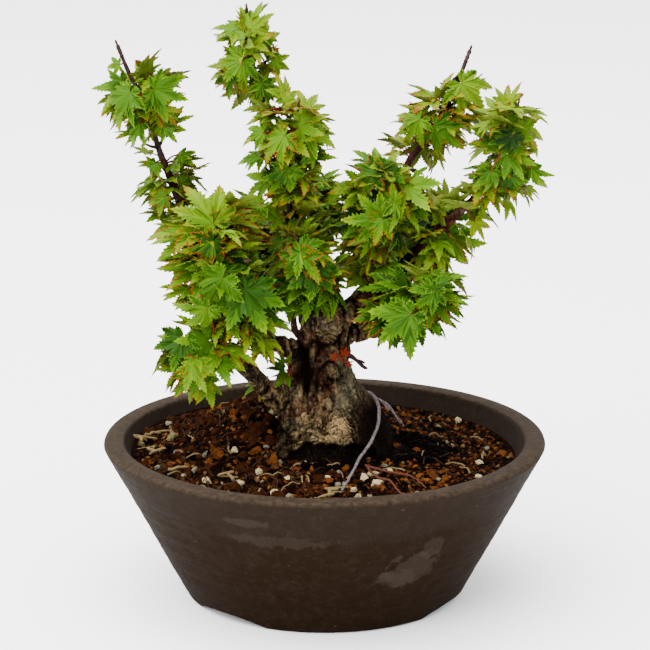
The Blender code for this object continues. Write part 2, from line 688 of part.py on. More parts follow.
def leaf_sites(stem, twigs, leafy):
    """Where leaves grow: in opposite pairs at each twig's tip and at every node of the stem."""
    sites = []
    for number, twig in enumerate(twigs):
        for rank, share in enumerate((0.94, 0.55)):
            for pair in range(2):
                sites.append((rank, twig, share, (number + rank) * math.pi / 2 + pair * math.pi))
    total = sum((b - a).length for a, b in zip(stem, stem[1:]))
    nodes = max(3, round(total * leafy / NODE_SPACING))
    for k in range(nodes):
        share = leafy * (1.0 - k / nodes)
        for pair in range(2):
            sites.append((k % 2, stem, share, k * math.pi / 2 + pair * math.pi + 0.6))
    sites.sort(key=lambda site: site[0])
    return sites


def leaf_pose(space, point, direction, turn, attempt, rng):
    """A leaf's stalk, heading and face: outwards from its twig and the mass, and hanging."""
    side, lift = across(direction)
    swing = turn + rng.uniform(-0.4, 0.4) * (1 + attempt * 0.12)
    outward = side * math.cos(swing) + lift * math.sin(swing)
    away = point - space.centre
    away.z *= 0.5
    axis = outward + direction * rng.uniform(0.1, 0.6)
    if away.length > 1.0:
        axis += away.normalized() * rng.uniform(0.2, 0.8)
    axis.normalize()
    axis.z = max(LEAF_LOWEST, min(LEAF_HIGHEST, axis.z - rng.uniform(*LEAF_HANG)))
    axis.normalize()
    normal = (UP - axis * axis.z).normalized()
    roll = rng.uniform(-0.45, 0.45)
    normal = (normal * math.cos(roll) + normal.cross(axis) * math.sin(roll)).normalized()
    stalk = LEAF_STALK[0] + (LEAF_STALK[1] - LEAF_STALK[0]) * rng.random()
    return axis, normal, stalk


def grow_leaves(space, sites, leaf_length, most, rng, limb_tree):
    """Leaves at the sites that have room for them, clear of every limb and of one another."""
    leaves = []
    trees = []
    for rank, twig, share, turn in sites:
        if len(leaves) >= most:
            break
        point, direction = along(twig, share)
        for attempt in range(LEAF_TRIES):
            axis, normal, stalk = leaf_pose(space, point, direction, turn, attempt, rng)
            length = leaf_length * rng.uniform(0.85, 1.08) * (1.0 - 0.35 * attempt / LEAF_TRIES)
            droop = LEAF_DROOP * rng.uniform(0.5, 1.3)
            lobes = FIVE_LOBES if len(leaves) % 3 == 0 else THREE_LOBES
            root = point - axis * TIP_RADIUS * 0.4
            verts, faces = leaf_solid(root, stalk, axis, normal, length, droop, lobes)
            if not all(space.holds(v, LEAF_SLACK) for v in verts[1:]):
                continue
            blade = list(verts)
            blade[0] = root + axis * min(stalk * 0.6, 2.2)
            tree = BVHTree.FromPolygons(blade, faces)
            if tree.overlap(limb_tree) or any(tree.overlap(other) for other in trees):
                continue
            leaves.append((verts, faces))
            trees.append(tree)
            break
    return leaves


def grow_mass(index, limbs, limb_tree, material, collection):
    """One mass of foliage: its stem, side twigs and leaves, grown by its seed and fused."""
    name, centre, half, parent, way, leaf_length, most = MASSES[index]
    rng = random.Random(1000 * index + SEEDS[index])
    space = Space(index)
    stem, radii = stem_route(parent, way, limbs)
    leafy = BARE_TIPS.get(name, 0.98)
    twigs = grow_twigs(space, stem[:max(2, round(leafy * (len(stem) - 1)) + 1)], rng, limb_tree)
    leaves = grow_leaves(space, leaf_sites(stem, twigs, leafy), leaf_length, most, rng, limb_tree)
    mass = new_object(name, *tube(stem, radii, 3), stem[0], material, collection)
    facing_out(mass)
    helpers = new_collection(name + "_parts")
    for number, twig in enumerate(twigs):
        twig_verts, twig_faces = tube(twig, [TWIG_RADIUS, TWIG_RADIUS * 0.8, TIP_RADIUS], 3)
        facing_out(new_object(f"{name}_twig_{number}", twig_verts, twig_faces, twig[0], material, helpers))
    for number, (leaf_verts, leaf_faces) in enumerate(leaves):
        facing_out(new_object(f"{name}_leaf_{number}", leaf_verts, leaf_faces, leaf_verts[0], material, helpers))
    union_all(mass, helpers, "MANIFOLD")
    return mass


def nearest_on(route, point):
    """The nearest place on a route to a point: its index, its share of that step, the place itself."""
    best = None
    for i, (a, b) in enumerate(zip(route, route[1:])):
        span = b - a
        t = max(0.0, min(1.0, (point - a).dot(span) / span.length_squared))
        place = a + span * t
        distance = (place - point).length
        if best is None or distance < best[0]:
            best = (distance, i, t, place)
    return best


def stem_route(parent, way, limbs):
    """A mass's stem: on from its limb's tip where it starts there, or out of the limb's side."""
    route, limb_radii = limbs[parent]
    first = Vector(way[0])
    distance, i, t, place = nearest_on(route, first)
    radius = limb_radii[i] + (limb_radii[i + 1] - limb_radii[i]) * t
    at_tip = i == len(route) - 2 and t > 0.999
    if at_tip:
        heading = (route[-1] - route[-2]).normalized()
        start = route[-1] + heading * (JOINT_GAP + 0.02)
        thick = min(STEM_RADIUS, limb_radii[-1])
    else:
        heading = (first - place).normalized()
        start = place + heading * (radius + JOINT_GAP + 0.12)
        thick = min(STEM_RADIUS, radius * 0.8)
    stem = smooth_route([start] + list(way), 7.0)
    return stem, taper(len(stem), thick, TIP_RADIUS)


# ---------------------------------------------------------------- the whole plant

def main():
    clear_scene()
    parts = new_collection("potted_maple")
    cutters = new_collection("cutters")
    clay = new_material("stoneware", (0.085, 0.066, 0.056), 0.8)
    earth = new_material("soil", (0.085, 0.035, 0.016), 0.95)
    bark = new_material("bark", (0.20, 0.13, 0.085), 0.85)
    young_bark = new_material("young_bark", (0.10, 0.030, 0.022), 0.6)
    leaf = new_material("leaf", (0.17, 0.30, 0.02), 0.5)

    home = bpy.data.objects.new("potted_maple_frame", None)
    parts.objects.link(home)

    make_pot(parts, cutters, clay)
    make_soil(parts, earth)

    limbs = {}
    for name, parent, points, base_radius, tip_radius in LIMBS:
        limbs[name] = limb_route(points, (base_radius, tip_radius))
    trunk, collars = make_trunk(parts, bark, limbs)

    blocked_verts = []
    blocked_faces = []

    def block(verts, faces):
        offset = len(blocked_verts)
        blocked_verts.extend(verts)
        blocked_faces.extend(tuple(i + offset for i in face) for face in faces)

    trunk_verts = [trunk.matrix_world @ v.co / MM for v in trunk.data.vertices]
    block(trunk_verts, [tuple(p.vertices) for p in trunk.data.polygons])
    for name, parent, points, base_radius, tip_radius in LIMBS:
        route, radii = limbs[name]
        block(*tube(route, [radius + LIMB_CLEARANCE for radius in radii], LIMB_SIDES))
        if parent == "trunk":
            route, radii = trimmed(route, radii, collars[name] + JOINT_GAP)
            limb = make_limb(name, route, radii, bark if radii[0] > THIN_BELOW else young_bark, parts)
        else:
            limb = make_limb(name, route, radii, young_bark, parts)
            parent_route, parent_radii = limbs[parent]
            verts, faces = tube(parent_route, [radius + JOINT_GAP for radius in parent_radii], LIMB_SIDES * 2)
            collar = new_object(name + "_seat", verts, faces, parent_route[0], bark, cutters)
            facing_out(collar)
            cut_away(limb, collar)
    root_line = smooth_route(ROOT_ROUTE, 6.0)
    trunk_tree = BVHTree.FromPolygons(blocked_verts, blocked_faces)
    root_line, root_radii = trimmed(root_line, taper(len(root_line), ROOT_RADIUS, ROOT_RADIUS * 0.7),
                                    distance_out(root_line, trunk_tree) + ROOT_RADIUS + JOINT_GAP)
    root = make_limb("surface_root", root_line, root_radii, bark, parts)
    block([v for v in (root.matrix_world @ v.co / MM for v in root.data.vertices)],
          [tuple(p.vertices) for p in root.data.polygons])

    limb_tree = BVHTree.FromPolygons(blocked_verts, blocked_faces)
    for index in range(len(MASSES)):
        grow_mass(index, limbs, limb_tree, leaf, parts)

    for obj in parts.objects:
        if obj is not home and obj.parent is None:
            obj.parent = home


main()
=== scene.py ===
"""Looks of the potted bonsai maple: bark, shoots, leaves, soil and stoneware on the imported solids.

Lengths are in millimetres, with the pot's axis as Z, its feet on z = 0 and the front of the tree
towards -Y, and MM turns them into metres where a mesh is made. Limbs and masses of foliage have
the same names, sizes, seeds and rule of growth as the solids that they replace.
"""

from math import atan2, copysign, cos, exp, hypot, pi, radians, sin, sqrt
import random

import bmesh
import bpy
import numpy as np
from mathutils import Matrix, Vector, noise
from mathutils.bvhtree import BVHTree


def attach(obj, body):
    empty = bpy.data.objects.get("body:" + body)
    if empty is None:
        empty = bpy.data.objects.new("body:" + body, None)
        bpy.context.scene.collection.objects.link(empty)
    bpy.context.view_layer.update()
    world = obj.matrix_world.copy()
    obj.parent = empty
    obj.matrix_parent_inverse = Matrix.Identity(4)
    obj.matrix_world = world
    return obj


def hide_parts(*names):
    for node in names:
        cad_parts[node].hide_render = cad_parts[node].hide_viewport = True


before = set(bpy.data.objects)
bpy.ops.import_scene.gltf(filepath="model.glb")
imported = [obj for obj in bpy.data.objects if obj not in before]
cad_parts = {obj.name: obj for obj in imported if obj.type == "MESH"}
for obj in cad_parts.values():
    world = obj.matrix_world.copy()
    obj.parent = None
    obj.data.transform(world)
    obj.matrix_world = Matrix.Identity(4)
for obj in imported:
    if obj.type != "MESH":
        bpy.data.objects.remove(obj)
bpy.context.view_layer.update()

MM = 0.001
UP = Vector((0.0, 0.0, 1.0))
# the vector noise of the bark and the roots follows the clock unless it is given a seed
NOISE_SEED = 1795480446
ROOT_BODY = "root"
JOINT_GAP = 0.3

# ---- Camera: a long lens a metre off, looking a little down ----
PICTURE_SIDE = 650.0
CAMERA_ELEVATION = radians(14.58)
CAMERA_DISTANCE = 1000.0
CAMERA_AIM_HEIGHT = 93.01
FOCAL_LENGTH = 164.2
SENSOR_WIDTH = 36.0
CENTRE_SHIFT = 0.3 / PICTURE_SIDE

# ---- Pot ----
RIM_RADIUS = 75.0
POT_HEIGHT = 54.0
FOOT_RADIUS = 47.0
LIP_WIDTH = 7.0
LIP_ROUND = 1.4
INNER_ROUND = 1.0
WALL_FLARE = (RIM_RADIUS - FOOT_RADIUS) / (POT_HEIGHT - LIP_ROUND)
FLOOR_TOP = 10.0
FOOT_WIDTH = 8.0
FOOT_HEIGHT = 3.2
FOOT_GAP_BEARINGS = (-44.0, 63.0, 189.0)
FOOT_GAP_ANGLE = 36.0
POT_STEPS = 288

# ---- Soil: fills the pot, level at the foot of the trunk and heaped up to its left and behind it ----
SOIL_AT_WALL = 48.6
SOIL_TOP = 51.7
MOUND_RADIUS = 30.0
# heaps of soil: place, half widths, height
SOIL_HEAPS = (
    (-29.0, 6.0, 13.0, 19.0, 7.5),
    (-17.0, 29.0, 20.0, 13.0, 5.0),
    (-48.0, -8.0, 11.0, 17.0, 2.0),
)
SOIL_LUMPS = 1.1
# how far the soil stands up the wall behind and to the left, and the bearing of its middle
WALL_RISE = 2.4
WALL_RISE_BEARING = 150.0

# ---- Trunk: squat, flared at the root, leaning a little left and then upright ----
# height, left edge, right edge, front edge, back edge
TRUNK_SECTIONS = (
    (SOIL_TOP + JOINT_GAP, -20.5, 23.0, -25.0, 17.0),
    (55.0, -18.0, 22.5, -22.5, 16.0),
    (59.6, -14.2, 21.0, -18.5, 14.5),
    (63.0, -13.2, 19.4, -16.0, 13.5),
    (66.7, -12.8, 17.0, -14.0, 12.5),
    (70.0, -13.2, 13.4, -12.6, 11.5),
    (73.7, -13.5, 10.6, -12.0, 10.5),
    (80.1, -11.7, 7.9, -10.5, 9.5),
    (86.0, -9.4, 7.9, -9.0, 8.6),
    (91.3, -7.6, 7.9, -8.0, 8.0),
    (96.5, -6.0, 6.8, -7.0, 7.0),
    (100.0, -4.4, 5.8, -5.0, 5.4),
    (101.6, -2.2, 3.4, -2.6, 3.0),
)
ROOT_BEARINGS = (-78.0, -128.0, 176.0, 128.0, 62.0, 14.0, -34.0)
ROOT_SWELL = 0.13
ROOT_REACH = 9.0
# round swellings of healed wood: centre, radius and depth against width
SWELLINGS = (
    ((0.0, -2.2, 95.2), 7.6, 0.96), ((5.4, -15.6, 61.0), 5.9, 1.0), ((-4.0, -13.6, 60.5), 4.6, 1.0),
    ((-9.5, -10.5, 62.0), 4.2, 1.0), ((13.5, -10.0, 58.0), 5.2, 1.0),
)
# rings of a healed cut: centre, reach, turns of the rings and their depth
HEALED_RINGS = (((5.0, -20.5, 61.0), 5.8, 1.9, 0.60), ((1.7, -10.0, 95.4), 7.6, 1.5, 0.70))

# ---- Limbs: name, what it grows from, route, radius at the base, radius at the tip ----
LIMBS = (
    ("bough_centre", "trunk", ((0.6, 1.0, 98.0), (-3.0, 0.0, 108.0), (-8.0, -2.5, 120.0),
     (-11.5, -5.0, 133.0)), 4.4, 2.0),
    ("bough_top", "bough_centre", ((-3.6, 0.0, 109.5), (-8.0, 8.5, 126.0), (-14.0, 15.0, 145.0),
     (-18.3, 18.0, 157.0), (-20.0, 18.4, 163.0)), 2.0, 1.0),
    ("bough_left", "trunk", ((-7.0, -4.0, 84.0), (-15.0, -8.5, 88.3), (-21.0, -12.0, 91.7),
     (-27.0, -17.0, 98.0), (-31.0, -20.0, 104.0)), 3.0, 1.7),
    ("bough_left_arm", "bough_left", ((-19.5, -11.0, 90.8), (-27.0, -5.0, 103.0), (-37.0, 2.0, 118.0),
     (-45.0, 6.0, 129.0), (-50.2, 7.0, 138.5), (-54.6, 6.5, 149.5)), 2.1, 1.1),
    ("stub_low_left", "trunk", ((-8.0, -7.0, 64.0), (-17.0, -12.5, 71.5), (-25.0, -18.0, 82.0),
     (-36.6, -25.0, 94.0)), 3.4, 2.5),
    ("bough_right", "trunk", ((3.5, 0.0, 94.5), (16.0, 0.0, 103.2), (26.0, 0.5, 113.0), (36.6, 0.0, 124.0),
     (44.0, -3.0, 132.0), (50.2, -5.5, 138.6)), 4.0, 1.1),
    ("bough_right_arm", "bough_right", ((17.5, 0.2, 104.6), (20.0, 9.0, 120.0), (25.0, 17.0, 134.0),
     (28.2, 21.0, 144.0), (33.0, 22.5, 150.5)), 2.3, 1.1),
    ("bough_right_centre", "bough_right", ((14.6, 0.0, 102.3), (15.4, -1.0, 109.0), (16.6, -1.2, 115.0)),
     2.0, 1.5),
    ("bough_right_low", "trunk", ((3.5, -0.5, 89.6), (12.0, -1.0, 90.9), (20.0, -2.0, 91.3),
     (26.0, -6.0, 93.4), (29.0, -11.0, 96.6)), 3.1, 1.6),
    ("stub_right", "bough_right_low", ((19.8, -1.9, 91.3), (20.2, -2.0, 94.5), (20.6, -2.0, 97.2)),
     1.7, 1.3),
    ("bough_back_left", "trunk", ((-2.5, 4.0, 89.0), (-7.0, 12.0, 94.0), (-12.0, 20.0, 99.0),
     (-16.0, 27.0, 104.0)), 2.7, 1.5),
    ("bough_back_right", "trunk", ((3.0, 4.0, 90.0), (7.0, 12.0, 94.0), (12.0, 21.0, 98.0),
     (15.0, 28.0, 103.0)), 2.7, 1.5),
    ("sprout_left", "trunk", ((-5.0, -4.0, 87.0), (-9.6, -5.0, 92.0), (-10.4, -5.0, 98.0),
     (-9.0, -5.5, 105.0)), 1.3, 0.9),
    ("dead_spur", "trunk", ((4.0, -4.0, 86.5), (9.6, -6.0, 83.2), (12.8, -6.6, 80.4)), 0.95, 0.55),
)
LIMB_SIDES = 8
LIMB_STEP = 6.5
# the silvery root that lies over the soil in front of the trunk
ROOT_ROUTE = ((8.0, 0.5, 68.0), (15.0, 0.0, 69.3), (18.2, -6.0, 66.2), (17.8, -13.5, 61.8),
              (15.2, -22.5, 58.4), (12.0, -28.5, 55.4), (10.1, -34.0, 53.6), (7.8, -42.0, 51.85),
              (5.6, -50.0, 50.7))
ROOT_RADIUS = 0.65

# ---- Foliage: name, centre, half sizes, what it grows from, stem's route, leaf length, most leaves ----
MASSES = (
    ("foliage_left_tip", (-59.8, 4.0, 169.0), (15.6, 14.0, 17.5), "bough_left_arm",
     ((-57.5, 5.5, 159.0), (-60.5, 5.0, 169.0), (-64.8, 6.0, 177.5), (-68.8, 7.0, 187.2)), 13.5, 22),
    ("foliage_left_arm", (-51.0, 7.0, 137.0), (13.0, 12.0, 17.0), "bough_left_arm",
     ((-48.0, 11.0, 130.0), (-52.0, 11.0, 139.0), (-53.5, 10.0, 147.0)), 12.5, 20),
    ("foliage_left", (-33.5, -21.0, 118.5), (23.0, 17.0, 27.0), "bough_left",
     ((-34.0, -21.5, 111.0), (-37.5, -22.0, 123.0), (-37.5, -22.0, 137.0)), 17.5, 38),
    ("foliage_left_low", (-40.0, -29.0, 89.0), (17.5, 15.0, 17.0), "stub_low_left",
     ((-35.5, -29.0, 91.0), (-41.0, -32.0, 95.0), (-48.0, -33.0, 92.0)), 15.5, 20),
    ("foliage_top", (-25.7, 19.5, 181.0), (15.0, 13.0, 18.8), "bough_top",
     ((-22.0, 19.0, 171.0), (-25.0, 19.8, 182.0), (-26.2, 20.0, 197.4)), 12.5, 23),
    ("foliage_centre_tall", (-13.0, -8.0, 154.5), (18.0, 15.0, 23.5), "bough_centre",
     ((-12.5, -7.0, 143.0), (-11.0, -8.0, 156.0), (-8.5, -8.0, 170.0)), 13.5, 28),
    ("foliage_centre", (-8.0, -15.0, 116.5), (21.0, 15.0, 20.0), "sprout_left",
     ((-8.5, -11.0, 109.5), (-7.5, -16.0, 117.0), (-9.0, -17.0, 128.0)), 16.0, 26),
    ("foliage_right_centre", (18.0, -4.0, 131.0), (21.0, 16.0, 23.0), "bough_right_centre",
     ((17.5, -4.0, 124.0), (19.0, -5.0, 136.0), (20.5, -4.0, 148.0)), 15.5, 30),
    ("foliage_right_arm", (42.0, 24.0, 157.0), (17.8, 14.0, 18.0), "bough_right_arm",
     ((37.5, 23.5, 157.0), (43.2, 25.0, 166.9), (49.2, 27.0, 182.2)), 13.0, 21),
    ("foliage_right_tip", (59.5, -8.0, 152.0), (15.0, 14.0, 22.5), "bough_right",
     ((55.5, -7.0, 147.0), (60.0, -8.0, 158.0), (63.5, -8.0, 170.0)), 12.5, 25),
    ("foliage_right", (37.5, 7.0, 119.5), (16.5, 15.0, 21.5), "bough_right",
     ((33.5, 8.0, 117.5), (37.5, 9.0, 126.0), (38.0, 8.0, 135.0)), 15.0, 24),
    ("foliage_right_low", (27.5, -20.0, 104.5), (21.5, 15.0, 15.0), "bough_right_low",
     ((31.0, -16.0, 101.0), (32.0, -20.0, 107.0), (35.0, -22.0, 113.0)), 16.0, 28),
    ("foliage_back_left", (-22.0, 36.0, 113.0), (19.0, 16.0, 18.0), "bough_back_left",
     ((-19.0, 32.0, 111.0), (-22.0, 36.0, 121.0)), 16.0, 18),
    ("foliage_back_right", (20.0, 38.0, 111.0), (18.0, 16.0, 18.0), "bough_back_right",
     ((17.5, 33.5, 110.0), (20.0, 38.0, 120.0)), 16.0, 18),
    ("foliage_back_centre", (-2.0, 24.0, 127.0), (15.0, 13.0, 15.0), "bough_top",
     ((-3.5, 18.0, 128.0), (-1.0, 24.0, 133.0)), 14.0, 14),
)
STEM_RADIUS = 1.1
TIP_RADIUS = 0.5
TWIG_RADIUS = 0.8
NODE_SPACING = 3.9
TWIG_SPREAD = 62.0
TWIG_SHORTEST = 5.0
TWIG_LONGEST = 12.0
SPACE_GAP = 0.8
LIMB_CLEARANCE = 0.5
# shoots whose last length carries no leaves, and where their leaves end along the stem
BARE_TIPS = {"foliage_left_tip": 0.66, "foliage_right_arm": 0.60, "foliage_top": 0.84}
# a leaf's lobes: bearing off the midrib and length against the middle lobe
FIVE_LOBES = ((-95.0, 0.60), (-47.0, 0.90), (0.0, 1.0), (47.0, 0.90), (95.0, 0.60))
THREE_LOBES = ((-68.0, 0.82), (0.0, 1.0), (68.0, 0.82))
SINUS = {5: 0.42, 3: 0.48}
LEAF_THICKNESS = 0.05
LEAF_DROOP = 0.30
LEAF_STALK = (1.8, 6.5)
# how far a leaf's heading is turned down, and its limits, as parts of its own length
LEAF_HANG = (0.1, 0.85)
LEAF_LOWEST = -0.9
LEAF_HIGHEST = 0.4
LEAF_TRIES = 45
LEAF_SLACK = 1.25
# one for each mass, in their order
SEEDS = (16, 19, 16, 21, 21, 10, 19, 7, 15, 14, 10, 6, 3, 3, 8)

# ---- Leaves as they are seen: lobes as bearing off the midrib and length against the middle lobe ----
SEVEN_LOBES = ((-126.0, 0.36), (-86.0, 0.66), (-43.0, 0.92), (0.0, 1.0), (43.0, 0.92), (86.0, 0.66),
               (126.0, 0.36))
FIVE_NARROW = ((-98.0, 0.52), (-48.0, 0.86), (0.0, 1.0), (48.0, 0.86), (98.0, 0.52))
LOBE_WIDTH = {"seven": 0.138, "five": 0.150, "broad": 0.168}
# half width of a lobe along its length, against its widest
LOBE_FORM = ((0.0, 0.70), (0.25, 0.80), (0.40, 0.94), (0.52, 1.0), (0.64, 0.84), (0.76, 0.52), (0.88, 0.22),
             (1.0, 0.0))
SINUS_DEPTH = (0.32, 0.40)
TEETH_FROM = 0.44
TEETH_TO = 0.93
MIDRIB_STATIONS = (0.20, 0.42, 0.64, 0.84)
BLADE_THICKNESS = 0.012
TEMPLATES = 14
# tints of a leaf from its shaded green to its autumn red, dealt out along each lobe
LEAF_TINTS = (
    ("leaf_deep", (0.003, 0.014, 0.0004)),
    ("leaf_forest", (0.010, 0.036, 0.0004)),
    ("leaf_green", (0.026, 0.073, 0.0005)),
    ("leaf_fresh", (0.051, 0.112, 0.0006)),
    ("leaf_lime", (0.080, 0.142, 0.0008)),
    ("leaf_yellow", (0.104, 0.148, 0.0012)),
    ("leaf_olive", (0.120, 0.110, 0.0016)),
    ("leaf_amber", (0.135, 0.060, 0.0020)),
    ("leaf_russet", (0.120, 0.026, 0.0022)),
    ("leaf_red", (0.115, 0.010, 0.0020)),
)
UNDERSIDE_TINTS = (("underside_shaded", (0.018, 0.045, 0.0025)), ("underside_light", (0.085, 0.120, 0.010)))
RED_TINT = len(LEAF_TINTS) - 1
# later growth: leaf length against the first, attempts at each place, room kept between blades, and reach
FINER_GROWTH = ((1.00, 34, 1.45, 1.0), (0.78, 22, 1.20, 0.90), (0.52, 12, 1.00, 0.78))
# boughs that small leafy shoots hide: from and to how far along, how many leaves, and how long
SHOOTS_ON_BOUGHS = {
    "foliage_left": (("bough_left", 0.45, 1.0, 26, 12.0),),
    "foliage_centre": (("bough_centre", 0.35, 1.0, 26, 9.0),),
    "foliage_centre_tall": (("bough_top", 0.0, 0.55, 16, 8.5),),
    "foliage_right": (("bough_right", 0.25, 1.0, 26, 9.5), ("bough_right_arm", 0.0, 0.40, 8, 8.5)),
    "foliage_right_centre": (("bough_right_centre", 0.0, 1.0, 14, 8.5),),
    "foliage_right_arm": (("bough_right_arm", 0.62, 1.0, 8, 7.5),),
    "foliage_left_arm": (("bough_left_arm", 0.35, 1.0, 14, 8.0),),
}
# masses that stay sparse: share of the later growth that they keep
SPARSE = {"foliage_left_low": 0.30, "foliage_left_tip": 0.8, "foliage_right_arm": 0.8}
YOUNG_LEAF = 3.8
# how far a stem's foot is sunk in its bough
STEM_SUNK = 1.6
# paler dried water marks on the pot's wall: centre, reach and strength
POT_SMEARS = (((29.0, -54.0, 25.0), (9.0, 9.0, 7.0), 0.34), ((24.0, -56.0, 21.0), (7.0, 9.0, 3.5), 0.28),
              ((35.0, -55.0, 32.0), (4.0, 9.0, 5.0), 0.26), ((-15.0, -65.0, 38.0), (17.0, 9.0, 2.2), 0.22),
              ((-27.0, -67.0, 45.0), (9.0, 9.0, 1.6), 0.30))
# small shoots straight off the trunk: foot, heading, face, leaf length and tint
TRUNK_SHOOTS = (((5.8, -10.6, 83.6), (0.25, -0.45, 0.85), (0.0, -0.85, -0.45), 3.2, 9),
                ((5.8, -10.6, 83.6), (-0.75, -0.45, 0.45), (0.1, -0.9, 0.1), 2.6, 9),
                ((5.8, -10.6, 83.2), (0.70, -0.55, -0.10), (0.0, -0.7, 0.5), 2.2, 9),
                ((-11.5, -9.6, 79.5), (-0.80, -0.55, 0.30), (0.15, -0.65, 0.75), 7.5, 1),
                ((-11.5, -9.6, 79.0), (-0.55, -0.80, -0.25), (0.0, -0.45, 0.85), 6.0, 2),
                ((-12.0, -8.8, 80.5), (-0.45, -0.45, 0.80), (-0.3, -0.8, -0.3), 5.0, 2),
                ((-19.0, -9.0, 77.5), (-0.85, -0.50, -0.55), (-0.2, -0.3, 0.9), 8.5, 3),
                ((-19.5, -9.0, 77.5), (-0.30, -0.75, -0.85), (0.0, -0.7, 0.6), 6.5, 3))
SHOOT_STALK = 2.6
# the thin rim of a leaf that turns first: its width, its mark against an edge's 1, and how far it has turned
MARGIN = 0.026
INSIDE = 0.45
MARGIN_TURN = (0.0, 0.0, 0.0, 2.6, 3.2, 7.6, 8.2)
# the healed knot at the fork, left free by leaves in front: half its width, its top and how far back it lies
KNOT_WINDOW = (9.0, 101.5, -9.0)
SIGHT_FALL = 0.26
# stout straws on the soil: foot and bearing; and thin red roots that lie on it
STRAWS = ((-62.0, 14.0, 0.5), (-60.0, -4.0, -0.9), (-63.0, 6.0, 1.6), (-52.0, -26.0, -0.3),
          (-2.0, -56.0, 0.4), (4.0, -60.0, 2.4), (1.0, -54.0, 1.2), (-30.0, -38.0, 2.0))
RED_ROOTS = (((13.5, -27.0), (17.0, -38.0), (22.0, -41.0), (25.0, -49.0), (31.0, -50.0), (35.0, -58.0)),
             ((14.5, -29.0), (21.0, -33.0), (28.0, -36.0), (33.0, -44.0)))
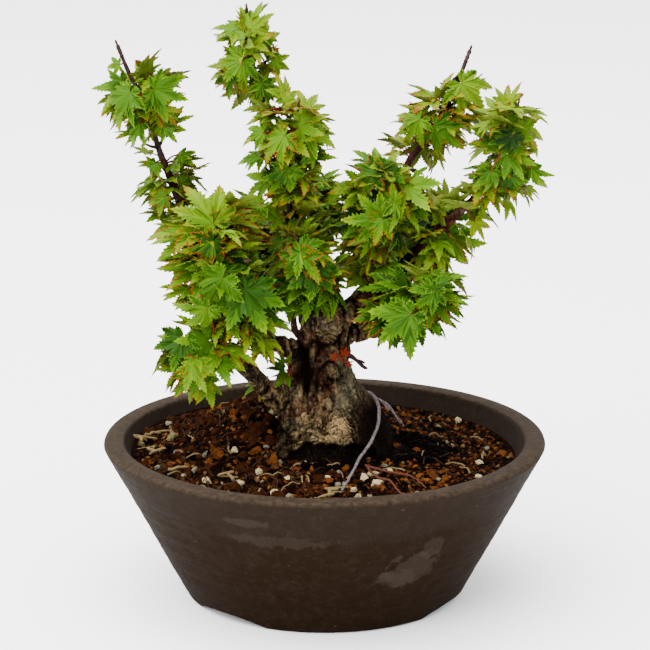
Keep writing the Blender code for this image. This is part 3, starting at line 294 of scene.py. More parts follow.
# leaves that hang clear in front, to the whole millimetre: palm, bearing in degrees as seen from the front,
# how far the face is tipped up, length, tint, how much further its tips have turned, and its kind
CLEAR_LEAVES = {
    "foliage_left_tip": (
        ((-56, -8, 175), -25, 0.3, 14, 3.5, 2.4, "seven"),
        ((-64, -9, 174), -135, 0.2, 16, 3.6, 2.6, "seven"),
        ((-66, -2, 176), -155, 0.3, 10, 2.8, 2.0, "five"),
        ((-68, 4, 181), -170, 0.6, 6, 4.6, 1.5, "five"),
        ((-61, -6, 163), -130, 0.2, 10, 2.8, 3.2, "five"),
        ((-53, -6, 162), -45, 0.3, 7, 3.0, 2.0, "five"),
    ),
    "foliage_left_arm": (
        ((-56, -2, 149), -135, 0.3, 7, 3.0, 2.2, "five"),
        ((-48, 3, 151), -45, 0.2, 7, 3.8, 2.4, "five"),
        ((-53, -4, 138), -155, 0.1, 8, 3.6, 2.0, "broad"),
        ((-48, 4, 141), 30, 0.4, 8, 3.0, 2.0, "five"),
    ),
    "foliage_left": (
        ((-36, -31, 135), 120, -0.1, 17, 5.0, 1.6, "broad"),
        ((-34, -33, 133), 10, 0.9, 12, 4.6, 2.6, "seven"),
        ((-36, -34, 130), -105, 0.1, 14, 2.6, 2.2, "seven"),
        ((-33, -36, 118), -135, 0.1, 18, 3.5, 2.2, "broad"),
        ((-26, -35, 114), -65, 0.1, 18, 2.4, 1.4, "broad"),
        ((-32, -32, 119), -15, 0.5, 11, 3.0, 1.4, "seven"),
    ),
    "foliage_left_low": (
        ((-38, -40, 109), -120, 0.2, 13, 3.8, 2.0, "seven"),
        ((-46, -36, 98), -120, 0.2, 14, 2.8, 1.6, "seven"),
    ),
    "foliage_top": (
        ((-26, 18, 193), 60, 0.3, 8, 4.2, 2.2, "five"),
        ((-27, 8, 182), -140, 0.2, 14, 3.9, 2.2, "seven"),
        ((-31, 9, 177), -105, 0.1, 10, 3.0, 1.6, "five"),
        ((-21, 9, 174), -55, 0.2, 10, 3.2, 2.0, "seven"),
        ((-17, 14, 181), -35, 0.3, 8, 4.2, 2.2, "five"),
        ((-21, 16, 189), 5, 0.4, 7, 4.4, 2.6, "five"),
        ((-27, 14, 190), -140, 0.3, 8, 4.8, 2.4, "five"),
    ),
    "foliage_centre_tall": (
        ((-6, -14, 162), -20, 0.5, 13, 4.3, 2.6, "five"),
        ((-13, -21, 162), -145, 0.2, 14, 4.2, 1.8, "seven"),
        ((-20, -16, 162), -165, 0.5, 9, 4.0, 2.2, "five"),
        ((-21, -16, 154), 175, 0.3, 9, 3.6, 3.0, "five"),
        ((-12, -21, 151), -105, 0.1, 12, 3.2, 2.2, "seven"),
        ((-5, -16, 156), -65, 0.1, 8, 3.4, 2.0, "five"),
        ((-20, -12, 168), -120, 0.1, 7, 3.4, 2.0, "five"),
        ((-21, -16, 138), -150, 0.4, 11, 4.2, 1.8, "seven"),
    ),
    "foliage_centre": (
        ((-8, -28, 124), -95, 0.0, 15, 3.2, 2.4, "broad"),
        ((-8, -29, 125), -10, 0.4, 14, 3.6, 2.6, "seven"),
        ((-3, -27, 120), -95, 0.0, 14, 1.9, 1.2, "broad"),
        ((-21, -24, 108), -65, 0.1, 14, 2.2, 1.4, "seven"),
    ),
    "foliage_right_centre": (
        ((18, -12, 148), -15, 0.8, 12, 2.6, 2.8, "broad"),
        ((17, -13, 148), -155, 0.8, 13, 2.8, 2.8, "seven"),
        ((23, -18, 139), -35, 0.2, 12, 4.2, 2.4, "seven"),
        ((23, -17, 139), 150, 0.2, 10, 4.2, 2.4, "five"),
        ((19, -19, 134), -175, 0.4, 15, 3.5, 2.2, "seven"),
        ((19, -20, 134), -110, 0.0, 11, 3.6, 2.4, "five"),
    ),
    "foliage_right_arm": (
        ((37, 12, 159), -45, 0.2, 15, 3.4, 2.6, "seven"),
        ((46, 20, 172), -45, 0.1, 16, 4.8, 1.6, "seven"),
        ((32, 13, 161), -135, 0.3, 12, 4.2, 2.4, "seven"),
    ),
    "foliage_right_tip": (
        ((58, -12, 165), -175, 0.5, 10, 4.4, 2.4, "five"),
        ((61, -20, 162), -110, 0.0, 10, 1.6, 2.2, "seven"),
        ((54, -20, 150), -90, 0.1, 9, 3.0, 1.8, "seven"),
        ((68, -10, 149), -70, -0.2, 11, 3.8, 2.4, "five"),
        ((61, -14, 147), -75, 0.0, 9, 3.0, 1.8, "five"),
    ),
    "foliage_right": (
        ((42, -2, 124), -65, -0.1, 17, 3.8, 2.6, "seven"),
        ((48, 2, 132), -10, 0.8, 10, 4.0, 2.4, "five"),
        ((50, 0, 132), -80, 0.0, 8, 3.0, 1.8, "five"),
    ),
    "foliage_right_low": (
        ((28, -33, 105), -140, 0.1, 17, 3.0, 1.2, "broad"),
        ((36, -31, 114), 90, 0.1, 13, 2.8, 1.2, "seven"),
        ((36, -32, 113), -140, 0.2, 11, 2.8, 1.2, "seven"),
    ),
}
CLEAR_DROOP = 0.30
SIGHT = Vector((0.0, -cos(CAMERA_ELEVATION), sin(CAMERA_ELEVATION)))
SIGHT_UP = Vector((0.0, sin(CAMERA_ELEVATION), cos(CAMERA_ELEVATION)))


# ---------------------------------------------------------------- curves and lofts

def wave(x, y, z):
    """Smooth noise at a place."""
    return noise.noise(Vector((x, y, z)))


def smooth_route(points, step):
    """Points about one step apart along a smooth curve through the given ones."""
    pts = [Vector(p) for p in points]
    ends = [pts[0] * 2 - pts[1]] + pts + [pts[-1] * 2 - pts[-2]]
    route = []
    for i in range(1, len(ends) - 2):
        p0, p1, p2, p3 = ends[i - 1:i + 3]
        count = max(1, round((p2 - p1).length / step))
        for k in range(count):
            t = k / count
            route.append(0.5 * (2 * p1 + (p2 - p0) * t + (2 * p0 - 5 * p1 + 4 * p2 - p3) * t * t
                                + (3 * p1 - p0 - 3 * p2 + p3) * t ** 3))
    route.append(pts[-1])
    return route


def route_length(route):
    return sum((b - a).length for a, b in zip(route, route[1:]))


def tangents(route):
    last = len(route) - 1
    return [(route[min(i + 1, last)] - route[max(i - 1, 0)]).normalized() for i in range(last + 1)]


def across(direction, hint=UP):
    """Two unit vectors square to a direction and to each other."""
    side = direction.cross(hint)
    if side.length < 0.05:
        side = direction.cross(Vector((0.0, 1.0, 0.0)))
    side.normalize()
    return side, side.cross(direction).normalized()


def tube(route, radii, sides):
    """Rings round a route, closed with a flat cap at each end."""
    verts = []
    side, lift = across((route[1] - route[0]).normalized())
    for point, tangent, radius in zip(route, tangents(route), radii):
        side = (side - tangent * side.dot(tangent)).normalized()
        lift = side.cross(tangent).normalized()
        for k in range(sides):
            angle = 2 * pi * k / sides
            verts.append(point + (side * cos(angle) + lift * sin(angle)) * radius)
    return verts, loft_faces(len(route), sides)


def loft_faces(rings, sides):
    faces = [tuple(range(sides))]
    for i in range(rings - 1):
        for k in range(sides):
            a = i * sides + k
            b = i * sides + (k + 1) % sides
            faces.append((b, a, a + sides, b + sides))
    top = (rings - 1) * sides
    faces.append(tuple(top + k for k in reversed(range(sides))))
    return faces


def taper(count, first, last):
    return [first + (last - first) * (i / (count - 1)) ** 0.85 for i in range(count)]


class Bunch:
    """Many small closed shapes gathered into one mesh of triangles."""

    def __init__(self):
        self.verts = []
        self.tris = []
        self.tints = []
        self.marks = []
        self.count = 0

    def add(self, verts, tris, tints, marks=None):
        verts = np.asarray(verts, float)
        tris = np.asarray(tris, np.int64)
        self.verts.append(verts)
        self.tris.append(tris + self.count)
        self.tints.append(np.broadcast_to(np.asarray(tints, np.int32), (len(tris),)))
        self.marks.append(np.zeros((len(verts), 2)) if marks is None else np.asarray(marks, float))
        self.count += len(verts)

    def add_tube(self, route, first, last, sides, tint):
        """A tube along a route, tapering between two radii."""
        self.add(*round_tube(route, taper(len(route), first, last), sides)[:2], tint)


def placed(name, data):
    obj = bpy.data.objects.new(name, data)
    bpy.context.scene.collection.objects.link(obj)
    return obj


def mesh_from(name, bunch, materials, sharp_angle=60.0):
    """One mesh object from a bunch, smooth but for its sharp edges."""
    verts = np.concatenate(bunch.verts) * MM
    tris = np.concatenate(bunch.tris)
    marks = np.concatenate(bunch.marks)
    mesh = bpy.data.meshes.new(name)
    mesh.vertices.add(len(verts))
    mesh.vertices.foreach_set("co", verts.astype(np.float32).ravel())
    mesh.loops.add(len(tris) * 3)
    mesh.loops.foreach_set("vertex_index", tris.astype(np.int32).ravel())
    mesh.polygons.add(len(tris))
    mesh.polygons.foreach_set("loop_start", np.arange(0, 3 * len(tris), 3, dtype=np.int32))
    for material in materials:
        mesh.materials.append(material)
    mesh.polygons.foreach_set("material_index", np.concatenate(bunch.tints).astype(np.int32))
    layer = mesh.uv_layers.new(name="UVMap")
    layer.data.foreach_set("uv", marks[tris.ravel()].astype(np.float32).ravel())
    mesh.update(calc_edges=True)
    mesh.shade_smooth()
    mesh.set_sharp_from_angle(angle=radians(sharp_angle))
    return placed(name, mesh)


def round_tube(route, radii, sides, cap_length=0.5):
    """A tube of triangles along a route, with a domed tip and a closed foot."""
    verts, _ = tube(route, radii, sides)
    points = [tuple(v) for v in verts]
    foot = len(points)
    points.append(tuple(route[0]))
    points.append(tuple(route[-1] + (route[-1] - route[-2]).normalized() * radii[-1] * cap_length))
    tris = []
    for i in range(len(route) - 1):
        for k in range(sides):
            a = i * sides + k
            b = i * sides + (k + 1) % sides
            tris += [(b, a, a + sides), (b, a + sides, b + sides)]
    top = (len(route) - 1) * sides
    for k in range(sides):
        tris.append((foot, k, (k + 1) % sides))
        tris.append((foot + 1, top + (k + 1) % sides, top + k))
    walked = [0.0]
    for a, b in zip(route, route[1:]):
        walked.append(walked[-1] + (b - a).length)
    marks = [(k / sides, walked[i] * 0.1) for i in range(len(route)) for k in range(sides)]
    marks += [(0.5, 0.0), (0.5, walked[-1] * 0.1)]
    return np.array(points), np.array(tris), np.array(marks)


def evaluated_mesh(obj):
    bpy.context.view_layer.update()
    depsgraph = bpy.context.evaluated_depsgraph_get()
    return bpy.data.meshes.new_from_object(obj.evaluated_get(depsgraph))


def finish_piece(obj, slot_name, *nodes):
    """A finished piece rides with the plant and stands for its solids, which it hides; its slot name is not
    used.
    """
    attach(obj, ROOT_BODY)
    if nodes:
        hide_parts(*nodes)


# ---------------------------------------------------------------- the rule of growth

def limb_route(points, lengths):
    """The limb's smooth route and the radius at each of its points."""
    route = smooth_route(points, LIMB_STEP)
    return route, taper(len(route), lengths[0], lengths[1])


def leaf_solid(root, stalk, axis, normal, length, droop, lobes):
    """A lobed leaf on its stalk: a star-shaped blade, ridged at its palm, its lobes bent down."""
    side = normal.cross(axis).normalized()
    sinus = SINUS[len(lobes)]
    palm = root + axis * stalk

    def blade_point(bearing, reach):
        angle = radians(bearing)
        flat = axis * cos(angle) + side * sin(angle)
        return palm + (flat - normal * droop) * reach * length

    outline = [root, palm - side * 0.07 * length - axis * 0.10 * length]
    tips = []
    for i, (bearing, reach) in enumerate(lobes):
        if i:
            outline.append(blade_point((bearing + lobes[i - 1][0]) / 2, sinus))
        tips.append(len(outline))
        outline.append(blade_point(bearing, reach))
    outline.append(palm + side * 0.07 * length - axis * 0.10 * length)
    count = len(outline)
    verts = outline + [palm + normal * LEAF_THICKNESS * length]
    faces = [(k, (k + 1) % count, count) for k in range(count)]
    faces += [(k + 1, k, k - 1) for k in tips]
    hub = [k for k in range(1, count) if k not in tips]
    faces.append((hub[0], 0, hub[-1]))
    faces += [(hub[0], hub[k + 1], hub[k]) for k in range(1, len(hub) - 1)]
    return verts, faces


class Space:
    """The room one mass of foliage keeps to, between its neighbours."""

    def __init__(self, index):
        self.centre = Vector(MASSES[index][1])
        self.half = Vector(MASSES[index][2])
        self.walls = []
        size = sum(self.half) / 3
        for other in range(len(MASSES)):
            if other == index:
                continue
            away = Vector(MASSES[other][1]) - self.centre
            other_size = sum(MASSES[other][2]) / 3
            distance = away.length
            if distance > size + other_size + 30.0:
                continue
            reach = (distance ** 2 + size ** 2 - other_size ** 2) / (2 * distance)
            self.walls.append((away / distance, reach - SPACE_GAP / 2))

    def holds(self, point, slack=1.0):
        offset = point - self.centre
        if sum((offset[i] / self.half[i]) ** 2 for i in range(3)) > slack:
            return False
        if abs(point.x) > RIM_RADIUS - 0.5 or abs(point.y) > RIM_RADIUS - 0.5:
            return False
        return self.between_walls(point)

    def between_walls(self, point):
        offset = point - self.centre
        return all(offset.dot(direction) < reach for direction, reach in self.walls)

    def room(self, point, direction):
        """How far a point can go in a direction before it leaves the space."""
        far = 0.0
        while far < 40.0 and self.holds(point + direction * (far + 1.0)):
            far += 1.0
        return far


def clear_of(verts, faces, tree):
    return not BVHTree.FromPolygons(verts, faces).overlap(tree)


def grow_twigs(space, stem, rng, limb_tree):
    """Side twigs in opposite pairs at every third node of a stem, each pair a quarter turn on."""
    twigs = []
    total = route_length(stem)
    count = max(1, round(total / (NODE_SPACING * 2.6)))
    start_turn = rng.uniform(0.0, pi)
    for k in range(count):
        point, direction = along(stem, (k + 0.3) / count)
        side, lift = across(direction)
        for pair in range(2):
            turn = start_turn + k * pi / 2 + pair * pi + rng.uniform(-0.35, 0.35)
            spread = radians(TWIG_SPREAD + rng.uniform(-10.0, 10.0))
            outward = side * cos(turn) + lift * sin(turn)
            heading = (direction * cos(spread) + outward * sin(spread) + UP * 0.12).normalized()
            reach = min(TWIG_LONGEST, space.room(point, heading) * rng.uniform(0.42, 0.55))
            if reach < TWIG_SHORTEST:
                continue
            bend = (heading + UP * 0.25).normalized()
            middle = point + heading * reach * 0.55
            route = [point, middle, middle + bend * reach * 0.45]
            verts, faces = tube(route[1:], [TWIG_RADIUS * 0.8, TIP_RADIUS], 3)
            if clear_of(verts, faces, limb_tree) and all(space.between_walls(v) for v in verts):
                twigs.append(route)
    return twigs


def end_heading(route):
    return (route[-1] - route[-2]).normalized()


def along(route, share):
    """The point and heading at a share of a route's length."""
    lengths = [(b - a).length for a, b in zip(route, route[1:])]
    left = share * sum(lengths)
    for i, length in enumerate(lengths):
        if left <= length or i == len(lengths) - 1:
            heading = (route[i + 1] - route[i]).normalized()
            return route[i] + heading * min(left, length), heading
        left -= length
    return route[-1], end_heading(route)


def leaf_sites(stem, twigs, leafy):
    """Where leaves grow: in opposite pairs at each twig's tip and at every node of the stem."""
    sites = []
    for number, twig in enumerate(twigs):
        for rank, share in enumerate((0.94, 0.55)):
            for pair in range(2):
                sites.append((rank, twig, share, (number + rank) * pi / 2 + pair * pi))
    total = route_length(stem)
    nodes = max(3, round(total * leafy / NODE_SPACING))
    for k in range(nodes):
        share = leafy * (1.0 - k / nodes)
        for pair in range(2):
            sites.append((k % 2, stem, share, k * pi / 2 + pair * pi + 0.6))
    sites.sort(key=lambda site: site[0])
    return sites


def rolled(axis, angle):
    """The upward face of a leaf that points along an axis, rolled about it."""
    normal = (UP - axis * axis.z).normalized()
    return (normal * cos(angle) + normal.cross(axis) * sin(angle)).normalized()


def leaf_pose(space, point, direction, turn, attempt, rng):
    """A leaf's stalk, heading and face: outwards from its twig and the mass, and hanging."""
    side, lift = across(direction)
    swing = turn + rng.uniform(-0.4, 0.4) * (1 + attempt * 0.12)
    outward = side * cos(swing) + lift * sin(swing)
    away = point - space.centre
    away.z *= 0.5
    axis = outward + direction * rng.uniform(0.1, 0.6)
    if away.length > 1.0:
        axis += away.normalized() * rng.uniform(0.2, 0.8)
    axis.normalize()
    axis.z = max(LEAF_LOWEST, min(LEAF_HIGHEST, axis.z - rng.uniform(*LEAF_HANG)))
    axis.normalize()
    normal = rolled(axis, rng.uniform(-0.45, 0.45))
    stalk = LEAF_STALK[0] + (LEAF_STALK[1] - LEAF_STALK[0]) * rng.random()
    return axis, normal, stalk


def grow_leaves(space, sites, leaf_length, most, rng, limb_tree):
    """Leaves at the sites that have room for them, clear of every limb and of one another."""
    leaves = []
    trees = []
    for rank, twig, share, turn in sites:
        if len(leaves) >= most:
            break
        point, direction = along(twig, share)
        for attempt in range(LEAF_TRIES):
            axis, normal, stalk = leaf_pose(space, point, direction, turn, attempt, rng)
            length = leaf_length * rng.uniform(0.85, 1.08) * (1.0 - 0.35 * attempt / LEAF_TRIES)
            droop = LEAF_DROOP * rng.uniform(0.5, 1.3)
            lobes = FIVE_LOBES if len(leaves) % 3 == 0 else THREE_LOBES
            root = point - axis * TIP_RADIUS * 0.4
            verts, faces = leaf_solid(root, stalk, axis, normal, length, droop, lobes)
            if not all(space.holds(v, LEAF_SLACK) for v in verts[1:]):
                continue
            blade = list(verts)
            blade[0] = root + axis * min(stalk * 0.6, 2.2)
            tree = BVHTree.FromPolygons(blade, faces)
            if tree.overlap(limb_tree) or any(tree.overlap(other) for other in trees):
                continue
            leaves.append((root, stalk, axis, normal, length, droop, len(lobes)))
            trees.append(tree)
            break
    return leaves


def nearest_on(route, point):
    """The nearest place on a route to a point: its index, its share of that step, the place itself."""
    best = None
    for i, (a, b) in enumerate(zip(route, route[1:])):
        span = b - a
        t = max(0.0, min(1.0, (point - a).dot(span) / span.length_squared))
        place = a + span * t
        distance = (place - point).length
        if best is None or distance < best[0]:
            best = (distance, i, t, place)
    return best


def stem_route(parent, way, limbs):
    """A mass's stem: on from its limb's tip where it starts there, or out of the limb's side."""
    route, limb_radii = limbs[parent]
    first = Vector(way[0])
    distance, i, t, place = nearest_on(route, first)
    radius = limb_radii[i] + (limb_radii[i + 1] - limb_radii[i]) * t
    at_tip = i == len(route) - 2 and t > 0.999
    if at_tip:
        heading = end_heading(route)
        start = route[-1] + heading * (JOINT_GAP + 0.02)
        thick = min(STEM_RADIUS, limb_radii[-1])
    else:
        heading = (first - place).normalized()
        start = place + heading * (radius + JOINT_GAP + 0.12)
        thick = min(STEM_RADIUS, radius * 0.8)
    stem = smooth_route([start] + list(way), 7.0)
    return stem, taper(len(stem), thick, TIP_RADIUS)


def wall_radius(z):
    """Outer radius of the pot's conical wall at a height."""
    return FOOT_RADIUS + WALL_FLARE * z


def inner_radius(z):
    """Radius of the wall's inner face, which runs up to the inner edge of the lip."""
    return RIM_RADIUS - LIP_WIDTH - WALL_FLARE * (POT_HEIGHT - INNER_ROUND - z)


def arc(centre_r, centre_z, radius, start, end, count):
    """Points of a profile along an arc, angles in degrees."""
    points = []
    for i in range(count):
        angle = radians(start + (end - start) * i / (count - 1))
        points.append((centre_r + radius * cos(angle), centre_z + radius * sin(angle)))
    return points


def trunk_swell(angle, z):
    """How far the root lobes push the trunk out at a bearing and height."""
    fade = exp(-(z - SOIL_TOP) / ROOT_REACH)
    swell = 0.0
    for bearing in ROOT_BEARINGS:
        swell += max(0.0, cos(angle - radians(bearing))) ** 24
    return 1.0 + fade * (ROOT_SWELL * swell - 0.05)


def soil_height(x, y):
    """The top of the soil: a low mound, its heaps, and lumps that fade towards the surface root."""
    radius = hypot(x, y)
    t = max(0.0, min(1.0, (radius - MOUND_RADIUS) / (inner_radius(SOIL_AT_WALL) - MOUND_RADIUS)))
    height = SOIL_TOP - (SOIL_TOP - SOIL_AT_WALL) * (1 - cos(pi * t)) / 2
    for heap_x, heap_y, wide, deep, rise in SOIL_HEAPS:
        height += rise * exp(-((x - heap_x) / wide) ** 2 - ((y - heap_y) / deep) ** 2)
    quiet = exp(-((x - 8.0) / 12.0) ** 2) if y < -20.0 else 0.0
    return height + SOIL_LUMPS * wave(x * 0.09, y * 0.09, 2.0) * (1.0 - quiet)


def faced_out(obj, in_triangles=False):
    """Turn a closed mesh's faces outwards, told by the sign of its volume, in triangles where asked."""
    bm = bmesh.new()
    bm.from_mesh(obj.data)
    if in_triangles:
        bmesh.ops.triangulate(bm, faces=bm.faces)
    if bm.calc_volume(signed=True) < 0.0:
        bmesh.ops.reverse_faces(bm, faces=bm.faces)
    bm.to_mesh(obj.data)
    bm.free()


# ---------------------------------------------------------------- finishes

class Nodes:
    """A node tree under construction, with short ways to add and feed its nodes."""

    def __init__(self, tree):
        self.tree = tree

    def feed(self, socket, source):
        """A socket takes the value of another one, a colour or a plain number."""
        if isinstance(source, bpy.types.NodeSocket):
            self.tree.links.new(source, socket)
        elif socket.type == "RGBA":
            socket.default_value = (*source, 1.0)
        else:
            socket.default_value = source

    def node(self, kind, fed=None, **settings):
        made = self.tree.nodes.new(kind)
        for key, value in settings.items():
            setattr(made, key, value)
        for key, source in (fed or {}).items():
            self.feed(made.inputs[key], source)
        return made

    def maths(self, way, first, second=0.0):
        return self.node("ShaderNodeMath", {0: first, 1: second}, operation=way).outputs["Value"]


class Finish(Nodes):
    """A material under construction, with its patterns in millimetres."""

    def __init__(self, name, sheen):
        self.material = bpy.data.materials.new(name)
        self.material.use_nodes = True
        super().__init__(self.material.node_tree)
        self.shader = self.tree.nodes["Principled BSDF"]
        self.shader.inputs["Specular IOR Level"].default_value = sheen

    def place(self, scale=(1.0, 1.0, 1.0)):
        """Object coordinates, stretched along each axis, in pattern units of a millimetre."""
        spot = self.node("ShaderNodeTexCoord").outputs["Object"]
        scale = [value / MM for value in scale]
        return self.node("ShaderNodeMapping", {"Scale": scale, "Vector": spot}).outputs["Vector"]

    def grain(self, where, scale, detail=4.0, roughness=0.55, distortion=0.0):
        """A cloudy pattern of so many blotches a millimetre."""
        return self.node("ShaderNodeTexNoise", {"Scale": scale, "Detail": detail, "Roughness": roughness,
                                                "Distortion": distortion, "Vector": where}).outputs["Fac"]

    def ramp(self, value, *stops):
        """A value turned into colours at its stops."""
        ramp = self.node("ShaderNodeValToRGB", {"Fac": value})
        ends = ramp.color_ramp.elements
        for end, (position, colour) in ((ends[0], stops[0]), (ends[1], stops[-1])):
            end.position = position
            end.color = (*colour, 1.0)
        for position, colour in stops[1:-1]:
            ends.new(position).color = (*colour, 1.0)
        return ramp.outputs["Color"]

    def span(self, value, low, high, to_low, to_high):
        """A value's range turned into another, and held to it."""
        return self.node("ShaderNodeMapRange", {"From Min": low, "From Max": high, "To Min": to_low,
                                                "To Max": to_high, "Value": value}).outputs["Result"]

    def blend(self, share, first, second, way="MIX"):
        fed = {"Factor": share, 6: first, 7: second}
        return self.node("ShaderNodeMix", fed, data_type="RGBA", blend_type=way).outputs[2]

    def parts(self, where):
        return self.node("ShaderNodeSeparateXYZ", {"Vector": where}).outputs

    def attribute(self, name):
        return self.node("ShaderNodeAttribute", attribute_name=name).outputs["Fac"]

    def specks(self, group, where, each_millimetre, size, share):
        fed = {"Where": where, "Each Millimetre": each_millimetre, "Size": size, "Share": share}
        return self.node("ShaderNodeGroup", fed, node_tree=group).outputs["Mask"]

    def worn(self, colour, roughness, relief, depth, strength=1.0):
        """The finished material: its colour, roughness and relief, so many millimetres deep."""
        self.feed(self.shader.inputs["Base Color"], colour)
        self.feed(self.shader.inputs["Roughness"], roughness)
        bump = self.node("ShaderNodeBump", {"Strength": strength, "Distance": depth * MM, "Height": relief})
        self.feed(self.shader.inputs["Normal"], bump.outputs["Normal"])
        return self.material


def opened_group(kind, name, inputs, output):
    """A new node group with named inputs and one output: its builder, its inputs and its last node."""
    group = bpy.data.node_groups.new(name, kind)
    for way, rows in (("INPUT", inputs), ("OUTPUT", (output,))):
        for label, sort in rows:
            group.interface.new_socket(label, in_out=way, socket_type="NodeSocket" + sort)
    nodes = Nodes(group)
    return nodes, nodes.node("NodeGroupInput").outputs, nodes.node("NodeGroupOutput")


def specks_group():
    """Shared effect: small round specks sprinkled over a surface, as a mask."""
    nodes, given, last = opened_group("ShaderNodeTree", "specks", (
        ("Where", "Vector"), ("Each Millimetre", "Float"), ("Size", "Float"), ("Share", "Float")),
        ("Mask", "Float"))
    fed = {"Vector": given["Where"], "Scale": given["Each Millimetre"]}
    cells = nodes.node("ShaderNodeTexVoronoi", fed).outputs
    near = nodes.maths("LESS_THAN", cells["Distance"], given["Size"])
    chosen = nodes.maths("LESS_THAN", cells["Color"], given["Share"])
    nodes.feed(last.inputs["Mask"], nodes.maths("MULTIPLY", near, chosen))
    return nodes.tree


def leaf_finish(name, colour):
    """A leaf's plain tint, with its side veins and pores as relief and a soft sheen."""
    finish = Finish(name, 0.05)
    pores = finish.grain(finish.place(), 2.2, 3.0)
    roughness = finish.span(pores, 0.3, 0.7, 0.35, 0.52)
    across_blade, along_blade, _ = finish.parts(finish.node("ShaderNodeUVMap").outputs["UV"])
    aside = finish.maths("ABSOLUTE", finish.maths("SUBTRACT", across_blade, 0.5))
    ahead = finish.maths("MULTIPLY", along_blade, 52.0)
    slant = finish.maths("SUBTRACT", ahead, finish.maths("MULTIPLY", aside, 26.0))
    veins = finish.maths("SINE", slant)
    relief = finish.maths("ADD", finish.maths("MULTIPLY", veins, 0.35), pores)
    return finish.worn(colour, roughness, relief, 0.10, 0.6)


def shoot_finish(name, dark, light, gloss=0.5):
    """Young bark: thin, smooth and streaked along the shoot."""
    finish = Finish(name, 0.03)
    where = finish.place((1.0, 1.0, 0.35))
    streaks = finish.grain(where, 0.9, 4.0)
    colour = finish.ramp(streaks, (0.32, dark), (0.68, light))
    roughness = finish.span(streaks, 0.3, 0.7, gloss, gloss + 0.2)
    return finish.worn(colour, roughness, finish.grain(where, 1.8, 5.0, 0.6), 0.25, 0.7)


def plain_finish(name, colour, roughness, relief=0.15, scale=1.5):
    """One tint over many small pieces, with a broken, matte surface."""
    finish = Finish(name, 0.02)
    broken = finish.grain(finish.place(), scale, 5.0, 0.65)
    rough = finish.span(broken, 0.3, 0.7, roughness - 0.12, min(1.0, roughness + 0.1))
    return finish.worn(colour, rough, broken, relief, 0.8)


def bark_finish(name, furrow, ridge, high_furrow, high_ridge, change_low, change_high):
    """Old bark: dark furrows, pale weathered ridges, turning redder and darker up the boughs."""
    finish = Finish(name, 0.015)
    maths, span, ramp, grain = finish.maths, finish.span, finish.ramp, finish.grain
    where = finish.place((1.0, 1.0, 0.5))
    fine = grain(where, 1.1, 8.0, 0.7, 0.4)
    broad = grain(where, 0.16, 4.0, 0.5)
    depth = finish.attribute("relief")
    lit = maths("ADD", maths("MULTIPLY", depth, 0.76), maths("MULTIPLY", fine, 0.36))
    split = grain(finish.place((1.0, 1.0, 0.38)), 0.62, 4.0, 0.62, 0.9)
    away = maths("ABSOLUTE", maths("SUBTRACT", split, 0.5))
    open_split = span(broad, 0.40, 0.62, 0.68, 0.96)
    lit = maths("MULTIPLY", lit, maths("MAXIMUM", open_split, span(away, 0.0, 0.045, 0.5, 1.04)))
    middle = tuple(0.90 * a + 0.10 * b for a, b in zip(furrow, ridge))
    high_middle = tuple(0.8 * a + 0.2 * b for a, b in zip(high_furrow, high_ridge))
    low = ramp(lit, (0.36, furrow), (0.56, middle), (0.74, tuple(0.36 * v for v in ridge)), (0.94, ridge))
    high = ramp(lit, (0.34, high_furrow), (0.58, high_middle), (0.86, high_ridge))
    height = maths("ADD", finish.parts(finish.place())["Z"], maths("MULTIPLY", broad, 16.0))
    colour = finish.blend(span(height, change_low + 8.0, change_high + 8.0, 0.0, 1.0), low, high)
    # painted shade: the bark turned near black where the relief rule puts shade
    painted_shade = span(finish.attribute("painted_shade"), 0.0, 1.0, 0.0, 0.97)
    colour = finish.blend(span(finish.attribute("warm"), 0.25, 1.0, 0.0, 0.8), colour,
                          ramp(lit, (0.25, (0.010, 0.0032, 0.0018)), (0.8, (0.085, 0.028, 0.016))))
    colour = finish.blend(span(finish.attribute("green"), 0.0, 1.0, 0.0, 0.55), colour,
                          ramp(lit, (0.25, (0.006, 0.006, 0.0025)), (0.9, (0.150, 0.140, 0.085))))
    colour = finish.blend(painted_shade, colour, (0.0025, 0.0012, 0.0008))
    tone = ramp(span(broad, 0.35, 0.65, 0.72, 1.12), (0.0, (0.0, 0.0, 0.0)), (1.0, (1.0, 1.0, 1.0)))
    colour = finish.blend(1.0, colour, tone, "MULTIPLY")
    roughness = span(fine, 0.3, 0.7, 0.72, 0.95)
    relief = maths("ADD", fine, grain(where, 3.0, 5.0, 0.75))
    relief = maths("ADD", relief, span(away, 0.0, 0.06, -0.5, 0.2))
    return finish.worn(colour, roughness, relief, 0.60)


